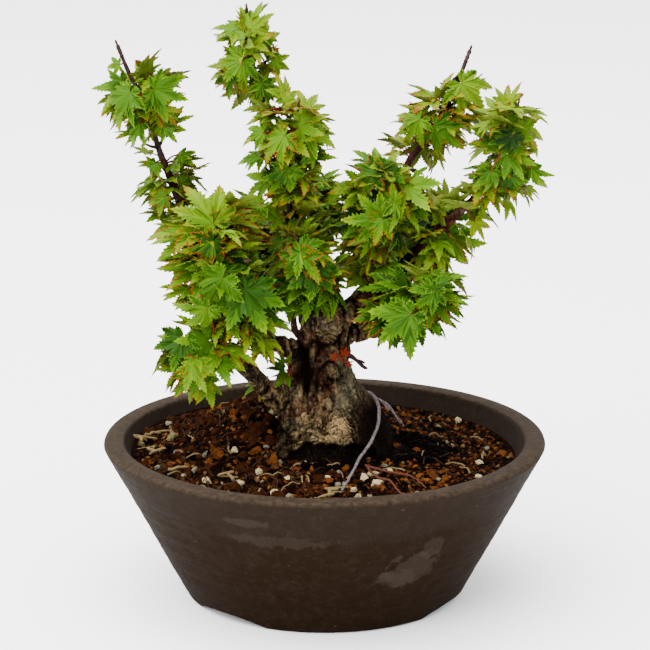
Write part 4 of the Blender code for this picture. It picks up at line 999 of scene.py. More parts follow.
def stoneware_finish(specks):
    """Unglazed clay: brown below, greyer towards the lip, with water marks, streaks and grit."""
    finish = Finish("stoneware_clay", 0.02)
    maths, span, blend, grain = finish.maths, finish.span, finish.blend, finish.grain
    where = finish.place()
    tall = finish.parts(where)["Z"]
    cloud = grain(where, 0.045, 5.0, 0.6)
    rings = grain(finish.place((0.10, 0.10, 1.0)), 0.9, 4.0, 0.6)
    mottle = grain(where, 0.6, 6.0, 0.7)
    height = maths("ADD", tall, maths("MULTIPLY", maths("SUBTRACT", cloud, 0.5), 26.0))
    clay = finish.ramp(span(height, 20.0, 52.0, 0.0, 1.0),
                       (0.0, (0.0066, 0.0028, 0.0007)), (0.50, (0.0076, 0.0036, 0.0013)),
                       (0.62, (0.0092, 0.0055, 0.0033)), (1.0, (0.0105, 0.0066, 0.0042)))
    clay = blend(span(rings, 0.45, 0.8, 0.0, 0.18), clay, (0.0060, 0.0034, 0.0018))
    clouds = grain(where, 0.22, 5.0, 0.65, 0.5)
    bloom = maths("MULTIPLY", span(mottle, 0.40, 0.72, 0.0, 0.42), span(clouds, 0.42, 0.60, 0.10, 1.0))
    clay = blend(bloom, clay, (0.0235, 0.0175, 0.0130))
    clay = blend(span(grain(where, 2.2, 4.0, 0.8), 0.46, 0.72, 0.0, 0.5), clay, (0.0032, 0.0017, 0.0008))
    for centre, reach, share in POT_SMEARS:
        away = where
        for way, amount in (("SUBTRACT", centre), ("DIVIDE", reach)):
            away = finish.node("ShaderNodeVectorMath", {0: away, 1: amount}, operation=way).outputs["Vector"]
        far = finish.node("ShaderNodeVectorMath", {0: away}, operation="LENGTH").outputs["Value"]
        near = maths("SUBTRACT", maths("MULTIPLY", clouds, 2.6), far)
        clay = blend(span(near, 0.25, 0.42, 0.0, share), clay, (0.0280, 0.0215, 0.0155))
    # the lip's top lighter and mottled: partly wear, partly a painted highlight where the light falls on it
    lip = span(tall, POT_HEIGHT - 1.8, POT_HEIGHT - 0.4, 0.0, 0.75)
    lip_wear_and_highlight = finish.ramp(mottle, (0.35, (0.0105, 0.0066, 0.0040)), (0.68, (0.0380, 0.0270, 0.0175)))
    clay = blend(lip, clay, lip_wear_and_highlight)
    dust = finish.specks(specks, where, 0.85, 0.20, 0.10)
    clay = blend(maths("MULTIPLY", dust, 0.45), clay, (0.048, 0.036, 0.026))
    grit = finish.specks(specks, where, 0.33, 0.11, 0.10)
    clay = blend(maths("MULTIPLY", grit, 0.6), clay, (0.055, 0.040, 0.028))
    roughness = span(mottle, 0.3, 0.7, 0.60, 0.82)
    fine = grain(where, 2.4, 6.0, 0.7)
    relief = maths("ADD", maths("MULTIPLY", rings, 0.6), maths("MULTIPLY", fine, 0.6))
    return finish.worn(clay, roughness, relief, 0.16, 0.7)


def earth_finish():
    """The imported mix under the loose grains."""
    finish = Finish("soil_bed", 0.01)
    crumbs = finish.grain(finish.place(), 0.7, 7.0, 0.7)
    colour = finish.ramp(crumbs, (0.36, (0.0006, 0.0002, 0.0001)), (0.58, (0.0050, 0.0016, 0.0005)),
                         (0.78, (0.022, 0.0075, 0.0022)))
    return finish.worn(colour, finish.span(crumbs, 0.3, 0.7, 0.85, 1.0), crumbs, 0.8)


# ---------------------------------------------------------------- wood

def fused_skin(name, shells, voxel):
    """Overlapping closed shells fused under one even skin, in millimetres."""
    verts = []
    faces = []
    for shell_verts, shell_faces in shells:
        offset = len(verts)
        verts.extend(tuple(v) for v in shell_verts)
        faces.extend(tuple(i + offset for i in face) for face in shell_faces)
    mesh = bpy.data.meshes.new(name + "_shells")
    mesh.from_pydata(verts, [], faces)
    obj = placed(name + "_shells", mesh)
    skin = obj.modifiers.new("skin", "REMESH")
    skin.mode = "VOXEL"
    skin.voxel_size = voxel
    soft = obj.modifiers.new("soft", "SMOOTH")
    soft.factor = 0.5
    soft.iterations = 4
    fused = evaluated_mesh(obj)
    bpy.data.objects.remove(obj, do_unlink=True)
    return fused


def relief_piece(name, mesh, relief, material):
    """The skin pushed in and out by a relief rule, which also says how pale and warm it is and how much painted
    shade it takes.
    """
    count = len(mesh.vertices)
    places = np.empty(count * 3, np.float32)
    mesh.vertices.foreach_get("co", places)
    normals = np.empty(count * 3, np.float32)
    mesh.vertices.foreach_get("normal", normals)
    places = places.reshape(-1, 3).astype(float)
    normals = normals.reshape(-1, 3).astype(float)
    moved = np.empty((count, 3))
    looks = np.empty((count, 4))
    for i in range(count):
        point = Vector(places[i])
        push, looks[i] = relief(point, Vector(normals[i]))
        moved[i] = point + push
    mesh.vertices.foreach_set("co", (moved * MM).astype(np.float32).ravel())
    for k, label in enumerate(("relief", "warm", "green", "painted_shade")):
        layer = mesh.attributes.new(label, "FLOAT", "POINT")
        layer.data.foreach_set("value", np.clip(looks[:, k], 0.0, 1.0).astype(np.float32))
    mesh.materials.clear()
    mesh.materials.append(material)
    mesh.name = name
    obj = placed(name, mesh)
    faced_out(obj, True)
    obj.data.shade_smooth()
    return obj


def crack(p, scale, tall, shift):
    """Nought along crooked lines drawn out upwards, and one between them."""
    q = Vector((p.x * scale + shift, p.y * scale - shift, p.z * scale / tall))
    return min(1.0, abs(noise.noise(q + noise.noise_vector(q * 0.8) * 0.5)) * 3.6)


def swell(value, low, high):
    """Nought below low, one above high and a smooth rise between."""
    t = max(0.0, min(1.0, (value - low) / (high - low)))
    return t * t * (3.0 - 2.0 * t)


def old_relief(p, n):
    """Old bark: plates and furrows, knobs on the foot, a hollow, an undercut and two ringed burls."""
    plates = crack(p, 0.26, 2.6, 3.1)
    small = crack(p, 0.80, 2.0, 7.7)
    fine = noise.fractal(p * 1.3, 0.7, 2.1, 4)
    front = swell(-n.y, -0.2, 0.5)
    stout = 1.0 - 0.75 * max(swell(p.z, 94.0, 108.0), swell(abs(p.x), 13.0, 20.0) * swell(p.z, 68.0, 76.0))
    knobbly = swell(68.5 - p.z + p.x * 0.25, 0.0, 6.0) * front * swell(p.x, -16.0, -10.0)
    knobbly *= 1.0 - swell(p.x, 9.0, 14.0)
    cells = noise.voronoi(Vector((p.x, p.y, p.z)) * 0.42)[0]
    knob = 1.0 - min(1.0, cells[0] / 0.75)
    rough = 1.5 * (plates - 0.55) + 0.55 * (small - 0.6) + 0.35 * fine
    lumpy = 1.1 * (knob - 0.35) + 1.1 * (small - 0.6) + 0.8 * fine
    out = stout * (rough * (1.0 - knobbly) + lumpy * knobbly)
    pale = 0.46 * plates + 0.30 * small + 0.22 * fine + 0.10
    pale = pale * (1.0 - knobbly) + (0.52 + 0.45 * knob + 0.40 * fine) * (0.35 + 0.65 * small) * knobbly
    smooth_side = swell(p.x, 2.0, 6.0) * swell(86.0 - p.z, 0.0, 8.0) * (1.0 - knobbly)
    out *= 1.0 - 0.6 * smooth_side
    pale = pale * (1.0 - 0.55 * smooth_side) + 0.55 * smooth_side * (0.62 + 0.35 * fine)
    push = n * out
    warm = 0.15 + swell(noise.noise(p * 0.16 + Vector((5.0, 0.0, 2.0))), -0.1, 0.4) * 0.5
    green = smooth_side * 0.6 + 0.5 * swell(noise.noise(p * 0.12 + Vector((0.0, 9.0, 4.0))), 0.0, 0.4)
    # painted shade: the bark near black in the hollow, under the undercut, just above the soil and low on the
    # foot's right and left sides, where shade falls
    painted_shade = 0.0

    for centre, reach, pitch, height in HEALED_RINGS:
        off = p - Vector(centre)
        away = off.length
        if away < reach and n.y < 0.1:
            bent = Vector((off.x * 0.75 + off.z * 0.35, 0.0, off.z * 1.15 - off.x * 0.25)).length
            phase = sin(bent * pitch + 5.0 * noise.noise(p * 0.17) + 3.0 * noise.noise(p * 0.45))
            depth = 0.75 + 0.9 * noise.noise(p * 0.5 + Vector((4.0, 4.0, 4.0)))
            groove = exp(-(phase / 0.34) ** 2) * depth
            share = 1.0 - swell(away, reach * 0.75, reach)
            push = push * (1.0 - 0.7 * share) - n * height * groove * share
            pale = pale * (1.0 - share) + share * (0.82 - 0.74 * groove + 0.26 * fine)

    tall = (p.z - 80.5) / 8.8
    if abs(tall) < 1.0 and n.y < 0.2 and p.y < 0.0:
        wide = 2.7 * sqrt(1.0 - tall * tall)
        off = (p.x + 6.6 + 0.9 * tall + 0.7 * wave(2.0, 1.0, p.z * 0.3)) / max(wide, 0.2)
        if abs(off) < 1.0:
            depth = (1.0 - off * off) ** 0.8
            push = push * (1.0 - depth * 0.6) + Vector((0.0, 3.4 * depth, 0.0))
            painted_shade = max(painted_shade, depth * 1.1)
            warm = max(warm, 0.6)
    if -12.0 < p.x < 17.0 and p.z < 60.5 and n.y < 0.25:
        top = 57.6 + 1.8 * wave(p.x * 0.25, 3.0, 1.0) - 0.014 * (p.x - 3.0) ** 2
        under = swell(top - p.z, -0.6, 2.2)
        push = push * (1.0 - under * 0.5) + Vector((0.0, 5.2 * under, 0.0))
        painted_shade = max(painted_shade, under * 1.05)
    painted_shade = max(painted_shade, swell(54.0 - p.z, 0.0, 1.6) * 0.8)
    ridge = swell(1.0 - abs(p.x + 1.2 + 1.3 * wave(0.0, 4.0, p.z * 0.2)) / 3.0, 0.0, 1.0)
    dark_bark = ridge * swell(p.z, 73.0, 77.0) * (1.0 - swell(p.z, 88.0, 92.0)) * front
    pale -= 0.28 * dark_bark
    warm += 0.7 * dark_bark
    warm += 0.8 * swell(p.x, 9.0, 13.0) * (1.0 - swell(p.z, 66.0, 72.0))
    painted_shade = max(painted_shade, 1.05 * swell(p.x + 1.5 * fine, 9.5, 12.5) * (1.0 - swell(p.z, 64.0, 72.0)))
    painted_shade = max(painted_shade, 0.7 * swell(-9.0 - p.x + 1.5 * fine, 0.0, 4.0) * (1.0 - swell(p.z, 58.0, 64.0)))
    # the front of the foot paler, partly its pale weathered bark and partly a painted highlight, and the rest
    # of the bark darker
    foot = swell(p.x, -13.0, -9.0) * (1.0 - swell(p.x, 6.0, 10.0)) * (1.0 - swell(p.z, 68.0, 76.0)) * front
    pale += 0.20 * foot - 0.10 * (1.0 - foot)
    pale -= 0.12 * swell(p.z, 99.0, 108.0)
    outer = swell(p.x, 31.0, 37.0) * swell(p.z, 110.0, 118.0) * (1.0 - swell(p.z - p.x, 92.0, 99.0))
    warm = max(warm, 1.1 * outer)
    pale += 0.35 * outer
    return push, (pale, warm, green, painted_shade)


def young_relief(p, n):
    """Thin bark on the boughs: low wrinkles and small knots."""
    wrinkle = noise.fractal(Vector((p.x, p.y, p.z * 0.6)) * 0.8, 0.7, 2.1, 4)
    knot = max(0.0, noise.noise(p * 0.42 + Vector((3.0, 3.0, 3.0))) - 0.25)
    pale = 0.45 + 0.55 * wrinkle - 0.5 * knot
    return n * (0.22 * wrinkle + 0.8 * knot), (pale, 0.6 + 0.4 * wrinkle, 0.0, 0.0)


def at_height(z):
    """The trunk's left, right, front and back edges at a height, eased between its sections."""
    heights = [row[0] for row in TRUNK_SECTIONS]
    return [float(np.interp(z, heights, [row[k] for row in TRUNK_SECTIONS])) for k in range(1, 5)]


def trunk_shell(sides=112, step=0.8):
    verts = []
    low = TRUNK_SECTIONS[0][0] - 3.0
    high = TRUNK_SECTIONS[-1][0]
    rings = round((high - low) / step)
    for i in range(rings + 1):
        z = low + (high - low) * i / rings
        spread = sum(0.25 * (1 if abs(k) == 1 else 2) * np.array(at_height(z + 1.6 * k)) for k in (-1, 0, 1))
        left, right, front, back = spread
        for k in range(sides):
            angle = 2 * pi * k / sides
            reach = trunk_swell(angle, max(z, SOIL_TOP))
            flute = 0.035 * sin(5.0 * angle + z * 0.03) + 0.025 * sin(9.0 * angle - z * 0.05 + 1.0)
            reach += flute * swell(96.0 - z, 0.0, 12.0)
            verts.append((cos(angle) * (right - left) / 2 * reach + (right + left) / 2,
                          sin(angle) * (back - front) / 2 * reach + (back + front) / 2, z))
    return verts, loft_faces(rings + 1, sides)


def lump(centre, radius, squash=1.0):
    """A round swelling of wood."""
    bm = bmesh.new()
    bmesh.ops.create_icosphere(bm, subdivisions=3, radius=radius)
    verts = [(v.co.x + centre[0], v.co.y * squash + centre[1], v.co.z + centre[2]) for v in bm.verts]
    faces = [tuple(v.index for v in face.verts) for face in bm.faces]
    bm.free()
    return verts, faces


def bough_shell(points, base_radius, tip_radius, rng, swelling):
    """A bough as a fine tube, swollen at its foot and a little at its nodes, and crooked between them."""
    route = smooth_route(points, 1.2)
    radii = taper(len(route), base_radius, tip_radius)
    walked = 0.0
    knots = []
    for i, point in enumerate(route):
        walked += (point - route[i - 1]).length if i else 0.0
        knots.append(1.0 + 0.09 * max(0.0, sin(walked * 0.95)) ** 6 + swelling * exp(-walked / 4.5)
                     + 0.05 * noise.noise(point * 0.3))
    radii = [radius * knot for radius, knot in zip(radii, knots)]
    last = len(route) - 1
    shifted = [p + noise.noise_vector(p * 0.22) * (0.16 * min(1.0, i / 6.0)) * min(1.0, (last - i) / 4.0)
               for i, p in enumerate(route)]
    return tube(shifted, radii, 20)


OLD_LIMBS = ("bough_centre", "bough_left", "stub_low_left", "bough_right", "bough_right_low",
             "bough_back_left", "bough_back_right")
YOUNG_LIMBS = ("bough_top", "bough_left_arm", "bough_right_arm", "bough_right_centre", "stub_right",
               "sprout_left")


def make_wood(old_bark, young_bark, silver_bark, spur_bark):
    """The trunk and its stout boughs under one skin, the young boughs, the dead spur and the surface root."""
    rng = random.Random(7)
    old = [trunk_shell()] + [lump(*swelling) for swelling in SWELLINGS]
    for _ in range(26):
        x = rng.uniform(-10.5, 6.5)
        z = rng.uniform(57.0, 69.0)
        left, right, front, back = at_height(z)
        off = (x - (left + right) / 2) / ((right - left) / 2)
        y = (front + back) / 2 - (back - front) / 2 * sqrt(max(0.0, 1.0 - off * off))
        old.append(lump((x, y + 0.9, z), rng.uniform(1.3, 2.5)))
    young = []
    for name, parent, points, base_radius, tip_radius in LIMBS:
        if name in OLD_LIMBS:
            swelling = 0.30 if parent == "trunk" else 0.2
            old.append(bough_shell(points, base_radius, tip_radius, rng, swelling))
        elif name in YOUNG_LIMBS:
            young.append(bough_shell(points, base_radius, tip_radius, rng, 0.22))
    wood = relief_piece("trunk_and_boughs", fused_skin("trunk", old, 0.40), old_relief, old_bark)
    finish_piece(wood, "bark", "trunk", *OLD_LIMBS)
    shoots = relief_piece("young_boughs", fused_skin("boughs", young, 0.30), young_relief, young_bark)
    finish_piece(shoots, "young_bark", *YOUNG_LIMBS)

    root = Bunch()
    line = smooth_route(ROOT_ROUTE, 1.0)
    line = [p + noise.noise_vector(p * 0.35) * 0.22 for p in line]
    radii = [ROOT_RADIUS * (1.0 - 0.35 * i / len(line)) * (1.0 + 0.18 * noise.noise(p * 0.5))
             for i, p in enumerate(line)]
    root.add(*round_tube(line, radii, 12)[:2], 0)
    for heading in range(7):
        start = Vector((16.6 + 0.7 * heading, -1.0 - 0.8 * heading, 68.6 - 0.2 * heading))
        fall = 0.4 + 0.12 * heading
        wisp = [start + Vector((0.9 * k + rng.uniform(-0.4, 0.4), -1.3 * k * rng.uniform(0.6, 1.1),
                                -0.9 * k * fall + rng.uniform(-0.3, 0.3))) for k in range(7)]
        root.add_tube(smooth_route(wisp, 0.9), 0.26, 0.12, 6, 0)
    finish_piece(mesh_from("surface_root_and_wisps", root, (silver_bark,)), "bark", "surface_root")

    spur = Bunch()
    points = next(row[2] for row in LIMBS if row[0] == "dead_spur")
    line = smooth_route([points[0], points[1], (11.6, -6.6, 81.6), points[2]], 0.7)
    radii = [0.95 - 0.4 * i / len(line) + 0.14 * max(0.0, sin(i * 0.9)) for i in range(len(line))]
    spur.add(*round_tube(line, radii, 12)[:2], 0)
    fork = smooth_route([(10.6, -6.3, 82.4), (12.2, -6.9, 82.3), (13.4, -7.2, 81.7)], 0.7)
    spur.add_tube(fork, 0.55, 0.35, 10, 0)
    snag = [Vector((12.6, -6.6, 80.6)), Vector((13.6, -6.9, 79.9)), Vector((14.4, -7.1, 79.8))]
    spur.add(*round_tube(snag, [0.6, 0.62, 0.3], 10)[:2], 0)
    finish_piece(mesh_from("dead_spur_bark", spur, (spur_bark,)), "young_bark", "dead_spur")


# ---------------------------------------------------------------- leaves

def lobe_side(bearing, length, half_width, sinus_bearing, sinus, sign, rng):
    """One edge of a lobe from its sinus to its tip, with teeth that point to the tip."""
    points = [(sinus * cos(radians(sinus_bearing)), sinus * sin(radians(sinus_bearing)))]
    angle = radians(bearing)
    ahead = (cos(angle), sin(angle))
    aside = (-sin(angle) * sign, cos(angle) * sign)
    teeth = 5 if length > 0.8 else 4 if length > 0.5 else 3
    for i in range(teeth):
        t = TEETH_FROM + (TEETH_TO - TEETH_FROM) * i / teeth
        form = float(np.interp(t, [row[0] for row in LOBE_FORM], [row[1] for row in LOBE_FORM]))
        bulge = half_width * form * (0.55 + 0.45 * length)
        tooth = (t + 0.060, bulge * rng.uniform(1.20, 1.48))
        notch = (t + 0.070, bulge * rng.uniform(0.70, 0.84))
        for reach, out in (tooth, notch):
            far = reach * length
            points.append((ahead[0] * far + aside[0] * out, ahead[1] * far + aside[1] * out))
    points.append((ahead[0] * length, ahead[1] * length))
    return points


def leaf_template(kind, lobes, rng):
    """A flat leaf, its palm at the origin and its middle lobe along x: the points and triangles of its top.

    Each point carries how far out it lies, how near an edge, and how far it is folded or waved.
    """
    lobes = [(bearing + rng.uniform(-5.0, 5.0), length * rng.uniform(0.92, 1.08))
             for bearing, length in lobes]
    half_width = LOBE_WIDTH[kind]
    sinus = rng.uniform(*SINUS_DEPTH)
    first, last = lobes[0][0], lobes[-1][0]
    between = [first - 24.0] + [(a[0] + b[0]) / 2 for a, b in zip(lobes, lobes[1:])] + [last + 24.0]
    depths = [sinus * 0.45] + [sinus * rng.uniform(0.9, 1.1) for _ in lobes[1:]] + [sinus * 0.45]
    points = [(0.0, 0.0, 0.0, 0.0)]
    tris = []
    sinuses = []
    for bearing, depth in zip(between, depths):
        sinuses.append(len(points))
        angle = radians(bearing)
        points.append((depth * cos(angle), depth * sin(angle), 1.0, 0.5))
        depth -= MARGIN
        points.append((depth * cos(angle), depth * sin(angle), INSIDE, 0.5))
    for number, (bearing, length) in enumerate(lobes):
        angle = radians(bearing)
        curl = rng.uniform(-0.03, 0.05)
        spine = [0]
        for station in MIDRIB_STATIONS:
            spine.append(len(points))
            far = station * length
            points.append((far * cos(angle), far * sin(angle), 0.0, 0.0))
        tip = len(points)
        points.append((length * cos(angle), length * sin(angle), 1.0, curl))
        far = length - 3.0 * MARGIN
        points.append((far * cos(angle), far * sin(angle), INSIDE, curl))
        spine.append(tip + 1)
        for sign, end in ((-1.0, number), (1.0, number + 1)):
            side = lobe_side(bearing, length, half_width, between[end], depths[end], sign, rng)
            rim = [sinuses[end]]
            edge = [sinuses[end] + 1]
            for k, (x, y) in enumerate(side[1:-1]):
                wave = 0.6 + 0.4 * sin(k * 1.7 + number)
                aside = y * cos(angle) - x * sin(angle)
                inward = copysign(min(MARGIN, 0.4 * abs(aside)), aside)
                rim.append(len(points))
                points.append((x, y, 1.0, wave))
                edge.append(len(points))
                points.append((x + inward * sin(angle), y - inward * cos(angle), INSIDE, wave))
            rim.append(tip)
            edge.append(tip + 1)
            for k in range(len(rim) - 1):
                tris += [(rim[k], rim[k + 1], edge[k + 1]), (rim[k], edge[k + 1], edge[k])]
            i = j = 0
            while i < len(spine) - 1 or j < len(edge) - 1:
                if j == len(edge) - 1 or (i < len(spine) - 1
                                          and (i + 1) / (len(spine) - 1) <= (j + 1) / (len(edge) - 1)):
                    corner = (spine[i], spine[i + 1], edge[j])
                    i += 1
                else:
                    corner = (spine[i], edge[j + 1], edge[j])
                    j += 1
                if len(set(corner)) == 3:
                    tris.append(corner if sign < 0 else (corner[0], corner[2], corner[1]))
    points = np.array(points)
    tris = np.array(tris)
    flat = points[:, :2]
    a, b, c = flat[tris[:, 0]], flat[tris[:, 1]], flat[tris[:, 2]]
    area = (b[:, 0] - a[:, 0]) * (c[:, 1] - a[:, 1]) - (b[:, 1] - a[:, 1]) * (c[:, 0] - a[:, 0])
    tris[area < 0] = tris[area < 0][:, ::-1]
    return points, tris[np.abs(area) > 1e-6]


def leaf_shape(template, palm, axis, normal, length, droop, rng, fold=1.0):
    """A leaf in its place: the upper and under sides of a thin closed blade, waved and folded."""
    points, tris = template
    side = normal.cross(axis).normalized()
    reach = np.hypot(points[:, 0], points[:, 1])
    bearing = np.arctan2(points[:, 1], points[:, 0])
    sag = 1.0 + rng.uniform(-0.35, 0.35) * np.cos(bearing) + rng.uniform(-0.3, 0.3) * np.sin(bearing)
    lift = -droop * sag * reach ** 2
    folded = np.minimum(2.0 * points[:, 2], 1.0) * fold * (0.070 + 0.03 * points[:, 3])
    lift += folded * np.clip(reach * 2.0, 0.0, 1.0) * (1.2 - reach)
    lift += 0.085 * np.sin(bearing * 3.3 + rng.uniform(0.0, 6.0)) * reach
    lift += 0.020 * np.sin(reach * 9.0 + bearing * 3.0 + rng.uniform(0.0, 6.0)) * reach
    inward = 1.0 - 0.35 * (droop * sag * reach) ** 2
    x, y = points[:, 0] * inward, points[:, 1] * inward
    basis = np.array([list(axis), list(side), list(normal)])
    upper = np.array(palm) + (np.stack([x, y, lift], 1) * length) @ basis
    inner = points[:, 2] < 0.5
    under_index = np.arange(len(points))
    under_index[inner] = len(points) + np.arange(inner.sum())
    under = upper[inner] - np.array(normal) * BLADE_THICKNESS * length
    verts = np.concatenate([upper, under])
    all_tris = np.concatenate([tris, under_index[tris[:, ::-1]]])
    marks = np.stack([0.5 + points[:, 1] * 0.5, points[:, 0]], 1)
    marks = np.concatenate([marks, marks[inner]])
    middle = reach[tris].mean(1)
    edge = points[:, 2][tris].mean(1)
    return verts, all_tris, marks, middle, edge, bearing[tris].mean(1)


def tinted(rng, middle, edge, bearing, base, redness, blush):
    """Tints along a leaf: green at its palm, turning along its lobes and teeth, with one side more turned."""
    turn = base + redness * np.clip((middle - 0.42) / 0.58, 0.0, 1.0) ** 1.6
    turn = turn + 0.5 * redness * blush * np.cos(bearing - rng.uniform(-2.5, 2.5)) * middle
    turn = np.where(edge > 0.6, np.maximum(turn + 0.3, rng.choice(MARGIN_TURN)), turn)
    turn = turn + np.array([rng.uniform(-0.32, 0.32) for _ in middle])
    upper = np.clip(np.round(turn), 0, RED_TINT).astype(int)
    # the underside of a darker-tinted leaf takes the shaded tint, of a lighter one the lit tint: painted shade
    # and light
    under = np.where(turn > 2.2, RED_TINT + 2, RED_TINT + 1)
    under = np.where(upper > 6, upper, under)
    return np.concatenate([upper, under])


# how turned each mass is, in their order: middle tint, and how much further its lobes' tips go; the middle tint
# is partly each mass's own turning and partly painted light and shade, lighter on the high masses and darker on
# the low ones
MASS_TURN = (
    (4.3, 2.4), (3.9, 2.0), (3.4, 2.2), (3.0, 1.6), (4.3, 2.4), (3.8, 2.4), (2.5, 1.6), (2.8, 2.2),
    (4.6, 2.4), (3.8, 2.4), (2.8, 2.0), (2.5, 1.4), (2.8, 1.4), (2.8, 1.4), (2.9, 1.4),
)


# bearings and reaches of the places on a leaf that keep other leaves away
KEPT_CLEAR = ((-88.0, 0.5), (-45.0, 0.5), (-45.0, 0.85), (0.0, 0.5), (0.0, 0.95), (45.0, 0.5), (45.0, 0.85),
              (88.0, 0.5))


def wayside_points(palm, axis, normal, length, droop):
    """Places on a leaf that keep other leaves away: its palm, mid-lobes and tips."""
    side = normal.cross(axis).normalized()
    places = [palm]
    for bearing, reach in KEPT_CLEAR:
        angle = radians(bearing)
        flat = axis * cos(angle) + side * sin(angle)
        places.append(palm + flat * reach * length - normal * droop * length * reach ** 2)
    return np.array([list(p) for p in places])


def over_knot(places):
    """Whether a leaf hangs in front of the healed knot as it is seen from the front."""
    half, top, depth = KNOT_WINDOW
    return any(abs(x) < half and y < depth + 6.0 and z - (depth - y) * SIGHT_FALL < top for x, y, z in places)


def finer_sites(stem, twigs, leafy, rng):
    """More places for leaves between the first ones: along every twig and stem, turned off their pairs."""
    sites = []
    for number, twig in enumerate(twigs):
        for share in (0.98, 0.80, 0.66, 0.42, 0.26):
            for pair in range(2):
                sites.append((twig, share, number + pair * pi + rng.uniform(0.0, 2 * pi)))
    total = route_length(stem)
    for k in range(round(total * leafy / 2.2)):
        share = leafy * rng.uniform(0.05, 1.0)
        sites.append((stem, share, rng.uniform(0.0, 2 * pi)))
    rng.shuffle(sites)
    return sites


def crowded(places, held, room, limb_tree, reach, woody_from):
    """Whether a leaf is too near another one, the knot in front or the wood."""
    gaps = np.linalg.norm(held[0][:, None, :] - places[None, :, :], axis=2)
    return gaps.min() < room or over_knot(places) or any(
        limb_tree.find_nearest(Vector(place), reach)[0] is not None for place in places[woody_from:])


def grow_finer(space, sites, leaf_length, tries, room, held, rng, limb_tree, slack):
    """Smaller leaves in the room that is left, none nearer a leaf than the room it needs."""
    grown = []
    for twig, share, turn in sites:
        point, direction = along(twig, share)
        for attempt in range(tries):
            axis, normal, stalk = leaf_pose(space, point, direction, turn, attempt * 2, rng)
            axis.z += rng.uniform(-0.45, 0.60)
            axis.normalize()
            normal = rolled(axis, rng.uniform(-0.95, 0.95))
            length = leaf_length * rng.uniform(0.75, 1.1)
            droop = LEAF_DROOP * rng.uniform(0.4, 1.5)
            root = point - axis * TIP_RADIUS * 0.4
            palm = root + axis * stalk
            places = wayside_points(palm, axis, normal, length, droop)
            clump = noise.noise(palm * 0.10 + Vector((7.0, 3.0, 1.0)))
            reach = slack + 0.55 * noise.noise(palm * 0.062 + Vector((2.0, 9.0, 4.0)))
            if clump < -0.20 or not space.holds(palm, reach - 0.05):
                continue
            if not all(space.holds(Vector(place), reach + 0.22) for place in places[1:]):
                continue
            if crowded(places, held, room, limb_tree, 0.9, 1):
                continue
            grown.append((root, stalk, axis, normal, length, droop, 5 if length < 8.0 else 7))
            held[0] = np.concatenate([held[0], places])
            break
    return grown


def swayed(axis, normal, roll, nod):
    """A leaf turned about its own midrib and then nodded up or down at its palm."""
    side = normal.cross(axis)
    normal = (normal * cos(roll) + side * sin(roll)).normalized()
    axis = (axis * cos(nod) + normal * sin(nod)).normalized()
    return axis, (normal - axis * normal.dot(axis)).normalized()


def young_tuft(tip, heading, rng):
    """The pair or two of small red leaves that open at the end of a twig."""
    tuft = []
    turn = rng.uniform(0.0, pi)
    side, lift = across(heading)
    for k in range(rng.choice((0, 0, 2))):
        turn += pi + rng.uniform(-0.4, 0.4)
        axis = heading * 0.9 + UP * 0.4 + side * cos(turn) * 0.7 + lift * sin(turn) * 0.7
        axis.normalize()
        normal = (heading - axis * heading.dot(axis) + UP * 0.01).normalized()
        normal = (normal - axis * normal.dot(axis)).normalized()
        tuft.append((tip, 0.7, axis, normal, YOUNG_LEAF * rng.uniform(0.7, 1.1), rng.uniform(-0.1, 0.4), 5))
    return tuft


def grow_on_boughs(name, limbs, held, rng, limb_tree):
    """Leaves on short stalks straight off the boughs, which hide the wood between the masses."""
    grown = []
    for limb, first, last, count, leaf_length in SHOOTS_ON_BOUGHS.get(name, ()):
        route, radii = limbs[limb]
        for _ in range(count * 12):
            if count == 0:
                break
            share = rng.uniform(first, last)
            point, direction = along(route, share)
            side, lift = across(direction)
            turn = rng.uniform(0.0, 2 * pi)
            axis = side * cos(turn) + lift * sin(turn) + direction * rng.uniform(-0.2, 0.6)
            axis.y -= 0.25
            axis.z += rng.uniform(-0.3, 0.5)
            axis.normalize()
            normal = rolled(axis, rng.uniform(-0.8, 0.8))
            length = leaf_length * rng.uniform(0.7, 1.15)
            droop = LEAF_DROOP * rng.uniform(0.6, 1.6)
            stalk = radii[round(share * (len(radii) - 1))] + rng.uniform(1.5, 6.0)
            places = wayside_points(point + axis * stalk, axis, normal, length, droop)
            if crowded(places, held, 1.5, limb_tree, 1.0, 0):
                continue
            grown.append((point, stalk, axis, normal, length, droop, 7))
            held[0] = np.concatenate([held[0], places])
            count -= 1
    return grown


def petiole(root, axis, stalk):
    """A leaf's stalk, arched a little on its way to the palm."""
    middle = root + axis * stalk * 0.5 + UP * 0.07 * stalk
    return smooth_route([root, middle, root + axis * (stalk + 0.25)], max(0.9, stalk / 3))


def clear_leaves(name, twigs):
    """The leaves that hang clear in front of a mass, each on a stalk from the nearest twig."""
    rows = []
    places = [point for twig in twigs for point in smooth_route(twig, 2.0)]
    for palm, bearing, tipped, length, tint, tips, kind in CLEAR_LEAVES.get(name, ()):
        palm = Vector(palm)
        turn = radians(bearing)
        normal = SIGHT * cos(tipped) + SIGHT_UP * sin(tipped)
        axis = Vector((cos(turn), 0.0, 0.0)) + SIGHT_UP * sin(turn)
        axis = (axis - normal * axis.dot(normal)).normalized()
        root = min(places, key=lambda place: (place - palm + axis * 2.0).length)
        rows.append((palm, root, axis, normal, length, tint, tips, kind))
    return rows


